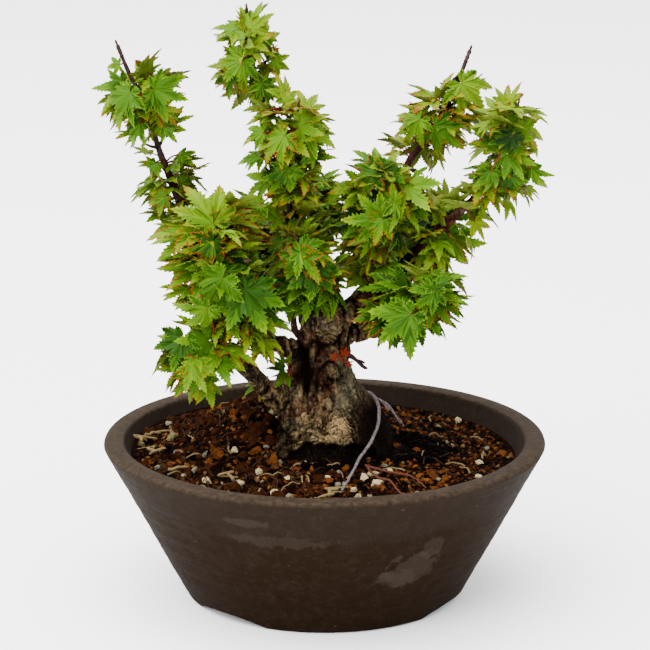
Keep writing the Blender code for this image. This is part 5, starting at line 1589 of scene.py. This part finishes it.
def gathered_leaves(index, limbs, limb_tree):
    """A mass's stem, twigs and leaves: the modelled leaves first, then the finer ones,
     then the clear ones."""
    name, centre, half, parent, way, leaf_length, most = MASSES[index]
    rng = random.Random(1000 * index + SEEDS[index])
    space = Space(index)
    stem, radii = stem_route(parent, way, limbs)
    leafy = BARE_TIPS.get(name, 0.98)
    twigs = grow_twigs(space, stem[:max(2, round(leafy * (len(stem) - 1)) + 1)], rng, limb_tree)
    first = grow_leaves(space, leaf_sites(stem, twigs, leafy), leaf_length, most, rng, limb_tree)

    rng = random.Random(4000 + index)
    clear = clear_leaves(name, [stem] + twigs)
    held = [wayside_points(row[0] + row[2] * row[1], *row[2:6]) for row in first]
    held += [wayside_points(row[0], *row[2:5], CLEAR_DROOP) for row in clear]
    held = [np.concatenate(held)]
    leaves = list(first)
    for share, tries, room, slack in FINER_GROWTH:
        sites = finer_sites(stem, twigs, leafy, rng)
        sites = sites[:round(len(sites) * SPARSE.get(name, 1.0))]
        leaves += grow_finer(space, sites, leaf_length * share, tries, 1.6 * room, held, rng, limb_tree,
                             1.12 * slack)
    leaves += grow_on_boughs(name, limbs, held, rng, limb_tree)
    for twig in twigs:
        if twig[-1].z > space.centre.z:
            leaves += young_tuft(twig[-1], end_heading(twig), rng)
    if leafy > 0.9:
        leaves += young_tuft(stem[-1], end_heading(stem), rng)
    return space, stem, radii, leafy, twigs, len(first), leaves, clear, rng


def grow_foliage(index, limbs, limb_tree, leaf_tints, shoot_tints):
    """One mass as it is seen: stem, twigs, stalks and buds in one piece, its leaves in another."""
    name = MASSES[index][0]
    space, stem, radii, leafy, twigs, modelled, leaves, clear, rng = gathered_leaves(index, limbs, limb_tree)
    blades, shoots = Bunch(), Bunch()
    base, redness = MASS_TURN[index]
    for palm, root, axis, normal, length, tint, tips, kind in clear:
        axis, normal = swayed(axis, normal, rng.uniform(-0.75, 0.75), rng.uniform(-0.40, 0.05))
        template = rng.choice(TEMPLATE_SETS[kind])
        verts, tris, marks, *rule = leaf_shape(template, palm, axis, normal, 0.92 * length,
                                               CLEAR_DROOP * rng.uniform(0.6, 2.2), rng, 1.7)
        blades.add(verts, tris, tinted(rng, *rule, tint - 1.5, tips + 1.5, 0.6), marks)
        path = [root, (root + palm) / 2 + UP * 0.08 * (palm - root).length, palm + axis * 0.25]
        shoots.add_tube(smooth_route(path, 1.5), 0.36, 0.24, 6, 1)
    for number, (root, stalk, axis, normal, length, droop, lobes) in enumerate(leaves):
        palm = root + axis * stalk
        outward = palm - space.centre
        depth = sqrt(sum((outward[i] / space.half[i]) ** 2 for i in range(3)))
        height = min(max(outward.z / space.half.z, 0.0), 1.0)
        if number < modelled:
            roll = rng.uniform(-0.65, 0.65)
            axis, normal = swayed(axis, normal, roll, rng.uniform(-0.30, 0.30) + 0.30 * height)
            droop *= rng.uniform(0.3, 1.4)
        droop *= 1.0 - 0.9 * height
        template = rng.choice(TEMPLATE_SETS["seven" if length > 8.5 or rng.random() < 0.5 else "five"])
        verts, tris, marks, *rule = leaf_shape(template, palm, axis, normal, length, droop, rng)
        young = 3.2 if lobes == 5 and length < YOUNG_LEAF * 1.2 else 0.0
        # leaves deep in the mass take darker tints and high ones lighter: painted shade and painted light
        painted_light_and_shade = 2.4 * (depth - 0.80) + 0.5 * outward.z / space.half.z
        turn = base + painted_light_and_shade + rng.uniform(-0.9, 0.9) + young
        blades.add(verts, tris, tinted(rng, *rule, turn, redness * rng.uniform(0.5, 1.8), 0.8), marks)
        path = petiole(root, axis, stalk)
        verts, tris, marks = round_tube(path, taper(len(path), 0.30, 0.21), 5)
        shoots.add(verts, tris, 1 if rng.random() < 0.55 else 2, marks)

    fine = smooth_route([stem[0] - (stem[1] - stem[0]).normalized() * STEM_SUNK] + list(stem), 1.8)
    thick = taper(len(fine), radii[0], radii[-1] * 0.9)
    bare = 1.3 if leafy < 0.9 else 1.0
    thick = [radius * (1.0 + (bare - 1.0) * i / len(thick)) * (1.0 + 0.16 * max(0.0, sin(i * 1.5)) ** 4)
             for i, radius in enumerate(thick)]
    shoots.add(*round_tube(fine, thick, 10)[:2], 0)
    for twig in twigs:
        fine = smooth_route(twig, 1.6)
        shoots.add_tube(fine, TWIG_RADIUS * 0.85, TIP_RADIUS * 0.6, 8, 0)
        shoots.add(*bud(fine[-1], end_heading(fine), 1.3), 3)
    shoots.add(*bud(stem[-1], end_heading(stem), 2.0), 0 if leafy < 0.9 else 3)
    if leafy < 0.9:
        side = across(end_heading(stem))[0]
        for share in (0.90, 0.78, 0.68):
            point, direction = along(stem, leafy + (1.0 - leafy) * share)
            for sign in (-1.0, 1.0):
                heading = (direction * 0.7 + side * sign).normalized()
                shoots.add(*bud(point + side * sign * 0.4, heading, 1.6), 0)
    finish_piece(mesh_from(name + "_leaves", blades, leaf_tints, 50.0), "leaves", name)
    finish_piece(mesh_from(name + "_twigs", shoots, shoot_tints), "young_bark", name)


def bud(point, heading, length):
    """A pointed winter bud, with its foot sunk in the shoot."""
    route = [point - heading * 0.3] + [point + heading * length * share for share in (0.35, 0.75)]
    route.append(point + heading * length)
    return round_tube(route, [0.25, 0.48, 0.30, 0.06], 6, 1.0)[:2]


def blocked_tree(limbs):
    """Everything woody that twigs and leaves keep clear of."""
    verts = []
    faces = []

    def block(more_verts, more_faces):
        offset = len(verts)
        verts.extend(more_verts)
        faces.extend(tuple(i + offset for i in face) for face in more_faces)

    def block_node(node):
        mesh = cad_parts[node].data
        block([v.co / MM for v in mesh.vertices], [tuple(p.vertices) for p in mesh.polygons])

    block_node("trunk")
    for route, radii in limbs.values():
        block(*tube(route, [radius + LIMB_CLEARANCE for radius in radii], LIMB_SIDES))
    block_node("surface_root")
    return BVHTree.FromPolygons(verts, faces)


def template_sets():
    rng = random.Random(31)
    return {kind: [leaf_template(kind, lobes, rng) for _ in range(TEMPLATES)]
            for kind, lobes in (("seven", SEVEN_LOBES), ("five", FIVE_NARROW), ("broad", SEVEN_LOBES))}


TEMPLATE_SETS = template_sets()


def grow_trunk_shoots(leaf_tints, shoot_tints):
    """The bud that opens red on the trunk's front, and the green shoots low on its left."""
    rng = random.Random(57)
    blades, stalks = Bunch(), Bunch()
    for foot, heading, face, length, tint in TRUNK_SHOOTS:
        root = Vector(foot)
        axis = Vector(heading).normalized()
        normal = Vector(face)
        normal = (normal - axis * normal.dot(axis)).normalized()
        palm = root + axis * SHOOT_STALK
        template = rng.choice(TEMPLATE_SETS["five"])
        verts, tris, marks, *rule = leaf_shape(template, palm, axis, normal, length, LEAF_DROOP, rng)
        blades.add(verts, tris, tinted(rng, *rule, tint, 0.6, 0.5), marks)
        stalks.add_tube(petiole(root, axis, SHOOT_STALK), 0.34, 0.22, 6, 1)
    finish_piece(mesh_from("trunk_shoot_leaves", blades, leaf_tints, 50.0), "leaves")
    finish_piece(mesh_from("trunk_shoot_stalks", stalks, shoot_tints), "young_bark")


def make_foliage(leaf_tints, shoot_tints):
    limbs = {name: limb_route(points, radii) for name, parent, points, *radii in LIMBS}
    limb_tree = blocked_tree(limbs)
    grow_trunk_shoots(leaf_tints, shoot_tints)
    for index in range(len(MASSES)):
        grow_foliage(index, limbs, limb_tree, leaf_tints, shoot_tints)


# ---------------------------------------------------------------- pot

def foot_arch(turn):
    """Height of the foot's underside at a bearing: nought, but arched over its three gaps."""
    half_chord = FOOT_RADIUS * sin(radians(FOOT_GAP_ANGLE / 2))
    radius = (half_chord ** 2 + FOOT_HEIGHT ** 2) / (2 * FOOT_HEIGHT)
    for bearing in FOOT_GAP_BEARINGS:
        off = (turn - radians(bearing - 90.0) + pi) % (2 * pi) - pi
        away = sin(off) * (FOOT_RADIUS - FOOT_WIDTH / 2)
        if abs(off) < 0.6 and abs(away) < radius:
            height = sqrt(radius ** 2 - away ** 2) + FOOT_HEIGHT - radius - 0.02
            if height > 0.0:
                return height
    return 0.0


def make_pot(clay):
    """The turned pot with its throwing rings, soft lip and cut foot."""
    inner_lip = RIM_RADIUS - LIP_WIDTH
    inside = [(r, FLOOR_TOP) for r in np.linspace(0.0, inner_radius(FLOOR_TOP) - 3.0, 8)]
    inside += [(inner_radius(z), z) for z in np.linspace(FLOOR_TOP + 3.0, POT_HEIGHT - INNER_ROUND - 0.6, 34)]
    lip = arc(inner_lip + INNER_ROUND, POT_HEIGHT - INNER_ROUND, INNER_ROUND, 175.0, 95.0, 6)
    lip += [(inner_lip + INNER_ROUND + (LIP_WIDTH - INNER_ROUND - LIP_ROUND) * k / 6,
             POT_HEIGHT + 0.12 * sin(pi * k / 6)) for k in range(1, 6)]
    lip += arc(RIM_RADIUS - LIP_ROUND, POT_HEIGHT - LIP_ROUND, LIP_ROUND, 90.0, 0.0, 8)
    wall = list(np.linspace(POT_HEIGHT - LIP_ROUND - 0.5, FOOT_HEIGHT, 72))
    verts = []
    for step in range(POT_STEPS):
        turn = 2 * pi * step / POT_STEPS
        arch = foot_arch(turn)
        place = Vector((cos(turn), sin(turn), 0.0))
        profile = [(r, z, 0.0) for r, z in inside] + [(r, z, 1.0) for r, z in lip]
        profile += [(wall_radius(z), z, 1.0) for z in wall]
        for share in (0.25, 0.5, 0.75, 0.93):
            z = arch + (FOOT_HEIGHT - arch) * (1.0 - share) + (0.1 if arch == 0.0 else 0.0)
            profile.append((wall_radius(z) - (0.25 if share > 0.9 else 0.0), z, 0.5))
        profile += [(FOOT_RADIUS - 0.9, arch, 0.0), (FOOT_RADIUS - FOOT_WIDTH + 0.5, arch, 0.0)]
        profile += [(FOOT_RADIUS - FOOT_WIDTH - 0.4, arch + (FOOT_HEIGHT - arch) * 0.4, 0.0),
                    (FOOT_RADIUS - FOOT_WIDTH - 1.0, FOOT_HEIGHT, 0.0), (FOOT_RADIUS * 0.5, FOOT_HEIGHT, 0.0)]
        for r, z, soft in profile[1:]:
            ring = 0.16 * wave(z * 0.75, place.x * 0.8, place.y * 0.8)
            ring += 0.07 * wave(z * 2.4 + 40.0, place.x * 1.5, place.y * 1.5)
            wander = 0.22 * noise.noise(place * 1.3 + Vector((0.0, 0.0, z * 0.05)))
            high = 0.20 * noise.noise(place * 1.9 + Vector((0.0, 0.0, 7.0))) if z > POT_HEIGHT - 3.0 else 0.0
            pits = min(0.0, noise.noise(place * r * 0.45 + Vector((0.0, 0.0, z * 0.45))) + 0.42) * 0.8
            away = r + soft * (ring + wander + pits)
            verts.append((place.x * away, place.y * away, z + high * soft))
    rings = len(verts) // POT_STEPS
    floor_point = len(verts)
    verts += [(0.0, 0.0, FLOOR_TOP), (0.0, 0.0, FOOT_HEIGHT)]
    tris = []
    for step in range(POT_STEPS):
        here = step * rings
        there = ((step + 1) % POT_STEPS) * rings
        for k in range(rings - 1):
            tris += [(here + k, here + k + 1, there + k + 1), (here + k, there + k + 1, there + k)]
        tris.append((floor_point, here, there))
        tris.append((floor_point + 1, there + rings - 1, here + rings - 1))
    bunch = Bunch()
    bunch.add(verts, tris, 0)
    pot = mesh_from("stoneware_pot", bunch, (clay,), 50.0)
    faced_out(pot)
    finish_piece(pot, "stoneware", "pot")


# ---------------------------------------------------------------- soil

def wall_foot(x, y):
    """Height at which the soil meets the pot's wall on the bearing of a place, and the radius there."""
    angle = atan2(y, x)
    behind = max(0.0, cos(angle - radians(WALL_RISE_BEARING)))
    height = SOIL_AT_WALL + WALL_RISE * behind ** 2
    return height, inner_radius(height)


def bed_height(x, y):
    """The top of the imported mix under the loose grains, crumbly, and banked against the trunk's left foot."""
    radius = hypot(x, y)
    height, edge = wall_foot(x, y)
    inside = 1.0 - swell(radius, edge - 7.0, edge - 0.5)
    rough = noise.fractal(Vector((x * 0.17, y * 0.17, 3.0)), 0.7, 2.0, 4)
    crumbly = 0.4 + 0.6 * swell(-x, -6.0, 14.0)
    banked = 9.5 * exp(-((x + 20.0) / 6.5) ** 2 - ((y + 3.0) / 10.0) ** 2)
    banked += 3.0 * exp(-((x + 36.0) / 17.0) ** 2 - ((y - 24.0) / 18.0) ** 2)
    banked += 3.0 * exp(-((x - 19.0) / 6.0) ** 2 - ((y - 9.0) / 9.0) ** 2)
    heap = soil_height(x, y) - 1.0 + banked + rough * 1.5 * crumbly
    return heap * inside + (height - 1.2) * (1.0 - inside)


def soil_surface(name, keep, step=1.6):
    """An open patch of the soil's top where keep says, for grains to lie on."""
    count = int(inner_radius(SOIL_AT_WALL) // step)
    index = {}
    verts = []
    faces = []
    for i in range(-count, count):
        for j in range(-count, count):
            corners = [((i + a) * step, (j + b) * step) for a, b in ((0, 0), (1, 0), (1, 1), (0, 1))]
            middle = ((i + 0.5) * step, (j + 0.5) * step)
            beyond = any(hypot(*corner) > wall_foot(*corner)[1] - 1.4 for corner in corners)
            if beyond or not keep(*middle):
                continue
            face = []
            for corner in corners:
                if corner not in index:
                    index[corner] = len(verts)
                    verts.append((corner[0] * MM, corner[1] * MM, bed_height(*corner) * MM))
                face.append(index[corner])
            faces.append(tuple(face))
    mesh = bpy.data.meshes.new(name)
    mesh.from_pydata(verts, [], faces)
    return placed(name, mesh)


def grain_tree():
    """Scatters rough grains over a surface: how many, how big, how flat, how lumpy and of what."""
    nodes, given, last = opened_group("GeometryNodeTree", "grains", (
        ("Geometry", "Geometry"), ("Density", "Float"), ("Seed", "Int"), ("Smallest", "Float"),
        ("Largest", "Float"), ("Flatness", "Float"), ("Lumps", "Float"), ("Fineness", "Int"),
         ("Sink", "Float"),
        ("Finish", "Material")), ("Geometry", "Geometry"))

    def vector(way, fed):
        return nodes.node("ShaderNodeVectorMath", fed, operation=way).outputs["Vector"]

    def chance(sort, fed):
        return nodes.node("FunctionNodeRandomValue", fed, data_type=sort).outputs["Value"]

    scatter = nodes.node("GeometryNodeDistributePointsOnFaces", {
        "Mesh": given["Geometry"], "Density": given["Density"], "Seed": given["Seed"]})
    grain = nodes.node("GeometryNodeMeshIcoSphere", {"Radius": 1.0, "Subdivisions": given["Fineness"]})
    size = chance("FLOAT", {"Min": given["Smallest"], "Max": given["Largest"], "Seed": given["Seed"]})
    lowest = nodes.node("ShaderNodeCombineXYZ", {"X": 0.75, "Y": 0.65, "Z": given["Flatness"]})
    shape = chance("FLOAT_VECTOR", {"Min": lowest.outputs["Vector"], "Max": (1.2, 1.0, 1.0)})
    spin = chance("FLOAT_VECTOR", {"Min": (-0.6, -0.6, 0.0), "Max": (0.6, 0.6, 2 * pi)})
    laid = nodes.node("GeometryNodeInstanceOnPoints", {
        "Points": scatter.outputs["Points"], "Instance": grain.outputs["Mesh"], "Rotation": spin,
        "Scale": vector("SCALE", {0: shape, "Scale": size})})
    whole = nodes.node("GeometryNodeRealizeInstances", {"Geometry": laid.outputs["Instances"]})
    cloud = nodes.node("ShaderNodeTexNoise", {"Scale": 520.0, "Detail": 3.0})
    centred = vector("SUBTRACT", {0: cloud.outputs["Color"], 1: (0.5, 0.5, 0.5)})
    lumps = vector("SCALE", {0: centred, "Scale": given["Lumps"]})
    down = nodes.node("ShaderNodeCombineXYZ", {"Z": given["Sink"]})
    moved = nodes.node("GeometryNodeSetPosition", {
        "Geometry": whole.outputs["Geometry"],
        "Offset": vector("SUBTRACT", {0: lumps, 1: down.outputs["Vector"]})})
    dressed = nodes.node("GeometryNodeSetMaterial", {
        "Geometry": moved.outputs["Geometry"], "Material": given["Finish"]})
    nodes.feed(last.inputs["Geometry"], dressed.outputs["Geometry"])
    return nodes.tree


def scatter_grains(name, tree, surface, finish, density, seed, smallest, largest, lumps, fineness, sink,
                   flatness):
    """One kind of grain over a patch of soil, turned into a plain mesh."""
    obj = placed(name, surface.data.copy())
    scatter = obj.modifiers.new("grains", "NODES")
    scatter.node_group = tree
    wanted = {"Density": density * 10000.0, "Seed": seed, "Smallest": smallest * MM / 2,
              "Largest": largest * MM / 2, "Flatness": flatness, "Lumps": lumps * MM, "Fineness": fineness,
              "Sink": sink * MM, "Finish": finish}
    for socket in tree.interface.items_tree:
        if socket.item_type == "SOCKET" and socket.in_out == "INPUT" and socket.name in wanted:
            scatter[socket.identifier] = wanted[socket.name]
    mesh = evaluated_mesh(obj)
    obj.modifiers.clear()
    obj.data = mesh
    mesh.name = name
    if not mesh.materials:
        mesh.materials.append(finish)
    mesh.shade_smooth()
    mesh.set_sharp_from_angle(angle=radians(GRAIN_SHARP))
    finish_piece(obj, "soil")


GRAIN_SHARP = 32.0
# tints of the loose grains: colour, roughness, relief and its fineness
GRAIN_TINTS = {
    "crumb_dark": ((0.0010, 0.0003, 0.0002), 0.95, 0.3, 1.5),
    "crumb_brown": ((0.0165, 0.0046, 0.0011), 0.92, 0.5, 2.4),
    "crumb_rust": ((0.062, 0.0180, 0.0034), 0.92, 0.5, 2.4),
    "crumb_tan": ((0.072, 0.038, 0.0130), 0.92, 0.3, 1.5),
    "grain_orange": ((0.085, 0.029, 0.0050), 0.85, 0.2, 1.5),
    "grain_cream": ((0.250, 0.200, 0.105), 0.85, 0.2, 1.5),
    "grain_grey": ((0.090, 0.082, 0.052), 0.85, 0.2, 1.5),
    "husk_pale": ((0.090, 0.070, 0.028), 0.85, 0.3, 1.5),
}
FIBRE_TINTS = {
    "root_red": ((0.060, 0.021, 0.012), 0.8, 0.15),
    "straw_dry": ((0.105, 0.074, 0.032), 0.8, 0.1),
    "fibre_brown": ((0.030, 0.014, 0.0065), 0.8, 0.1),
}
# loose grains: name, patch, tint, how many a square centimetre, seed, smallest, largest, how far their lumps
# push, fineness, how deep they sink, and flatness
GRAINS = (
    ("clods_brown", "left", "crumb_brown", 1.5, 13, 2.8, 5.6, 4.8, 3, 0.2, 0.7),
    ("clods_rust", "everywhere", "crumb_rust", 0.5, 14, 2.4, 4.6, 4.2, 3, 0.3, 0.7),
    ("crumbs_dark", "everywhere", "crumb_dark", 13.0, 1, 0.9, 2.8, 3.0, 2, 0.3, 0.7),
    ("crumbs_brown", "left", "crumb_brown", 15.0, 2, 0.6, 3.0, 3.6, 2, 0.3, 0.7),
    ("crumbs_brown_right", "right", "crumb_brown", 14.0, 3, 0.8, 2.6, 2.8, 2, 0.3, 0.7),
    ("crumbs_rust_left", "left", "crumb_rust", 13.0, 4, 0.4, 2.0, 2.6, 1, 0.3, 0.7),
    ("crumbs_rust_right", "right", "crumb_rust", 26.0, 5, 0.4, 2.2, 2.6, 1, 0.3, 0.7),
    ("crumbs_shaded", "shaded", "crumb_dark", 34.0, 6, 1.2, 3.4, 3.2, 2, -0.5, 0.7),
    ("crumbs_tan", "everywhere", "crumb_tan", 3.4, 11, 0.4, 1.8, 2.6, 1, -0.3, 0.7),
    ("grains_orange", "everywhere", "grain_orange", 0.45, 7, 1.4, 2.8, 2.2, 1, -0.4, 0.7),
    ("grains_cream", "everywhere", "grain_cream", 0.14, 8, 1.6, 3.2, 2.6, 1, -0.6, 0.7),
    ("grains_cream_front", "front", "grain_cream", 0.55, 9, 1.6, 3.8, 2.8, 1, -0.7, 0.7),
    ("grains_grey", "everywhere", "grain_grey", 0.30, 10, 1.4, 3.0, 2.6, 1, -0.5, 0.7),
    ("husks_pale", "husks", "husk_pale", 2.0, 15, 1.2, 3.8, 3.4, 1, -0.8, 0.3),
)


def oval(x, y, centre_x, centre_y, wide, deep):
    """Below one inside an oval on the ground, and above it outside."""
    return ((x - centre_x) / wide) ** 2 + ((y - centre_y) / deep) ** 2


def off_trunk(x, y):
    return oval(x, y, 1.0, -4.0, 19.0, 18.0) > 1.0


def waver(x, y):
    return 6.0 * wave(x * 0.08, y * 0.08, 0.0)


# where each patch of soil lies
PATCHES = {
    "everywhere": off_trunk,
    "left": lambda x, y: off_trunk(x, y) and x < 4.0 + waver(x, y),
    "right": lambda x, y: off_trunk(x, y) and x > -2.0 + waver(x, y),
    "shaded": lambda x, y: off_trunk(x, y) and min(oval(x, y, 26.0, -5.0, 17.0, 15.0),
                                                   oval(x, y, 4.0, -26.0, 13.0, 5.0)) < 1.0,
    "front": lambda x, y: off_trunk(x, y) and y < -34.0 + 0.006 * x * x,
    "husks": lambda x, y: min(oval(x, y, -58.0, 4.0, 7.0, 24.0), oval(x, y, 3.0, -57.0, 10.0, 6.0)) < 1.0,
}
BED_RINGS = 64
BED_STEPS = 180
FIBRES = 430


def make_soil_bed():
    """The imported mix: its crumbly top in rings, and a plain underside well below it."""
    verts = [(0.0, 0.0, bed_height(0.0, 0.0))]
    turns = [2 * pi * k / BED_STEPS for k in range(BED_STEPS)]
    for i in range(1, BED_RINGS + 1):
        for turn in turns:
            edge = wall_foot(cos(turn), sin(turn))[1] - 0.45
            x, y = edge * i / BED_RINGS * cos(turn), edge * i / BED_RINGS * sin(turn)
            verts.append((x, y, bed_height(x, y)))
    base = len(verts)
    r = inner_radius(FLOOR_TOP + 3.0) - 0.35
    verts += [(r * cos(turn), r * sin(turn), FLOOR_TOP + 3.0) for turn in turns]
    verts.append((0.0, 0.0, FLOOR_TOP + 1.0))
    tris = []
    for k in range(BED_STEPS):
        beside = (k + 1) % BED_STEPS
        tris.append((0, 1 + k, 1 + beside))
        for i in range(BED_RINGS):
            a = 1 + i * BED_STEPS + k
            b = 1 + i * BED_STEPS + beside
            tris += [(a, a + BED_STEPS, b + BED_STEPS), (a, b + BED_STEPS, b)]
        tris.append((base + k, len(verts) - 1, base + beside))
    bunch = Bunch()
    bunch.add(verts, tris, 0)
    bed = mesh_from("soil_bed", bunch, (earth_finish(),), 60.0)
    faced_out(bed)
    finish_piece(bed, "soil", "soil")


def fibre_route(x, y, rng):
    """A crooked line over the soil, up off it in its middle, and cut short at the wall."""
    turn = rng.uniform(0.0, 2 * pi)
    count = rng.randrange(4, 8)
    stride = rng.uniform(0.8, 1.7)
    route = []
    for k in range(count):
        turn += rng.uniform(-0.45, 0.45)
        x += stride * cos(turn)
        y += stride * sin(turn)
        if hypot(x, y) > 64.0:
            break
        lift = 0.7 + 1.1 * sin(pi * k / (count - 1)) * rng.uniform(0.2, 1.3)
        route.append((x, y, bed_height(x, y) + lift))
    return route


def lay_fibres():
    """Dry straws, fine roots and red roots on the soil."""
    rng = random.Random(12)
    strands, threads, red = Bunch(), Bunch(), Bunch()
    for number in range(FIBRES):
        x = rng.uniform(-60.0, 60.0)
        y = rng.uniform(-62.0, 55.0)
        if hypot(x, y) > 63.0 or not off_trunk(x, y) or (x > 0.0 and rng.random() < 0.6):
            continue
        route = fibre_route(x, y, rng)
        if len(route) < 4:
            continue
        pale = number % 6 == 0
        thick = rng.uniform(0.22, 0.42) if pale else rng.uniform(0.10, 0.24)
        (strands if pale else threads).add_tube(smooth_route(route, 0.8), thick, thick * 0.5, 5, 0)
    for x, y, turn in STRAWS:
        route = []
        for k in range(6):
            a = x + 1.6 * k * cos(turn + 0.12 * k * (-1) ** k)
            b = y + 1.6 * k * sin(turn + 0.12 * k)
            route.append((a, b, bed_height(a, b) + 1.4 + 0.5 * sin(0.9 * k)))
        strands.add_tube(smooth_route(route, 0.8), 0.62, 0.34, 7, 0)
    for line in RED_ROOTS:
        route = smooth_route([(a, b, bed_height(a, b) + 1.5) for a, b in line], 0.7)
        route = [point + noise.noise_vector(point * 0.4) * 0.5 for point in route]
        red.add_tube(route, 0.48, 0.24, 7, 0)
    for name, bunch, tint in (("red_roots", red, "root_red"), ("dry_strands", strands, "straw_dry"),
                              ("fine_roots", threads, "fibre_brown")):
        finish_piece(mesh_from(name, bunch, (plain_finish(tint, *FIBRE_TINTS[tint]),)), "soil")


def make_soil():
    """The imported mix, its loose grains by kind and the dry fibres among them."""
    make_soil_bed()
    patches = {name: soil_surface("patch_" + name, keep) for name, keep in PATCHES.items()}
    tree = grain_tree()
    tints = {name: plain_finish(name, *row) for name, row in GRAIN_TINTS.items()}
    for name, patch, tint, *measures in GRAINS:
        scatter_grains(name, tree, patches[patch], tints[tint], *measures)
    for patch in patches.values():
        bpy.data.objects.remove(patch, do_unlink=True)
    lay_fibres()


# ---------------------------------------------------------------- studio

FLOOR_REACH = 6.0
AIR_STRENGTH = 2.9
# name, place and aim in metres, width, and power in watts
SOFTBOXES = (
    ("overhead_softbox", (-0.40, -0.10, 1.40), (0.0, 0.0, 0.10), 2.4, 95.0),
    ("front_softbox", (-0.70, -1.15, 0.95), (0.0, 0.0, 0.09), 1.0, 20.0),
)


def make_studio():
    """A pale floor under even soft light, with a camera on the front of the tree."""
    floor_finish = bpy.data.materials.new("studio_floor")
    floor_finish.use_nodes = True
    shader = floor_finish.node_tree.nodes["Principled BSDF"]
    shader.inputs["Base Color"].default_value = (0.96, 0.96, 0.96, 1.0)
    shader.inputs["Roughness"].default_value = 0.9
    shader.inputs["Specular IOR Level"].default_value = 0.1
    mesh = bpy.data.meshes.new("studio_floor")
    corners = [(x * FLOOR_REACH, y * FLOOR_REACH, 0.0) for x, y in ((-1, -1), (1, -1), (1, 1), (-1, 1))]
    mesh.from_pydata(corners, [], [(0, 1, 2, 3)])
    mesh.materials.append(floor_finish)
    placed("studio_floor", mesh)

    world = bpy.data.worlds.new("studio_air")
    world.use_nodes = True
    air = world.node_tree.nodes["Background"].inputs
    air["Color"].default_value = (1.0, 1.0, 1.0, 1.0)
    air["Strength"].default_value = AIR_STRENGTH
    bpy.context.scene.world = world

    for name, place, aim, size, power in SOFTBOXES:
        light = bpy.data.lights.new(name, "AREA")
        light.shape = "DISK"
        light.size = size
        light.energy = power
        lamp = placed(name, light)
        lamp.location = place
        lamp.rotation_euler = (Vector(aim) - Vector(place)).to_track_quat("-Z", "Y").to_euler()

    camera = bpy.data.cameras.new("front_camera")
    camera.lens = FOCAL_LENGTH
    camera.sensor_width = SENSOR_WIDTH
    camera.shift_x = CENTRE_SHIFT
    camera.clip_start = 0.01
    camera.dof.use_dof = False
    stand = placed("front_camera", camera)
    stand.location = (0.0, -cos(CAMERA_ELEVATION) * CAMERA_DISTANCE * MM,
                      (CAMERA_AIM_HEIGHT + sin(CAMERA_ELEVATION) * CAMERA_DISTANCE) * MM)
    stand.rotation_euler = (pi / 2 - CAMERA_ELEVATION, 0.0, 0.0)
    bpy.context.scene.camera = stand


# ---------------------------------------------------------------- the whole plant

def main():
    noise.seed_set(NOISE_SEED)
    specks = specks_group()
    old_bark = bark_finish("old_bark", (0.0016, 0.0007, 0.0004), (0.300, 0.200, 0.092),
                           (0.0014, 0.0006, 0.0004), (0.036, 0.017, 0.010), 99.0, 111.0)
    young_bark = shoot_finish("young_bark_red", (0.007, 0.0022, 0.0018), (0.036, 0.012, 0.009))
    silver_bark = shoot_finish("root_silver", (0.040, 0.030, 0.030), (0.130, 0.108, 0.106), 0.45)
    spur_bark = shoot_finish("spur_dead", (0.008, 0.0030, 0.0028), (0.030, 0.014, 0.013), 0.7)
    leaf_tints = tuple(leaf_finish(name, colour) for name, colour in LEAF_TINTS + UNDERSIDE_TINTS)
    shoot_tints = (
        shoot_finish("twig_purple", (0.0060, 0.0032, 0.0030), (0.042, 0.026, 0.022)),
        plain_finish("stalk_red", (0.085, 0.012, 0.007), 0.45, 0.05),
        plain_finish("stalk_green", (0.085, 0.090, 0.014), 0.45, 0.05),
        plain_finish("bud_red", (0.085, 0.018, 0.012), 0.45, 0.06),
    )
    make_wood(old_bark, young_bark, silver_bark, spur_bark)
    make_foliage(leaf_tints, shoot_tints)
    make_pot(stoneware_finish(specks))
    make_soil()
    make_studio()


main()
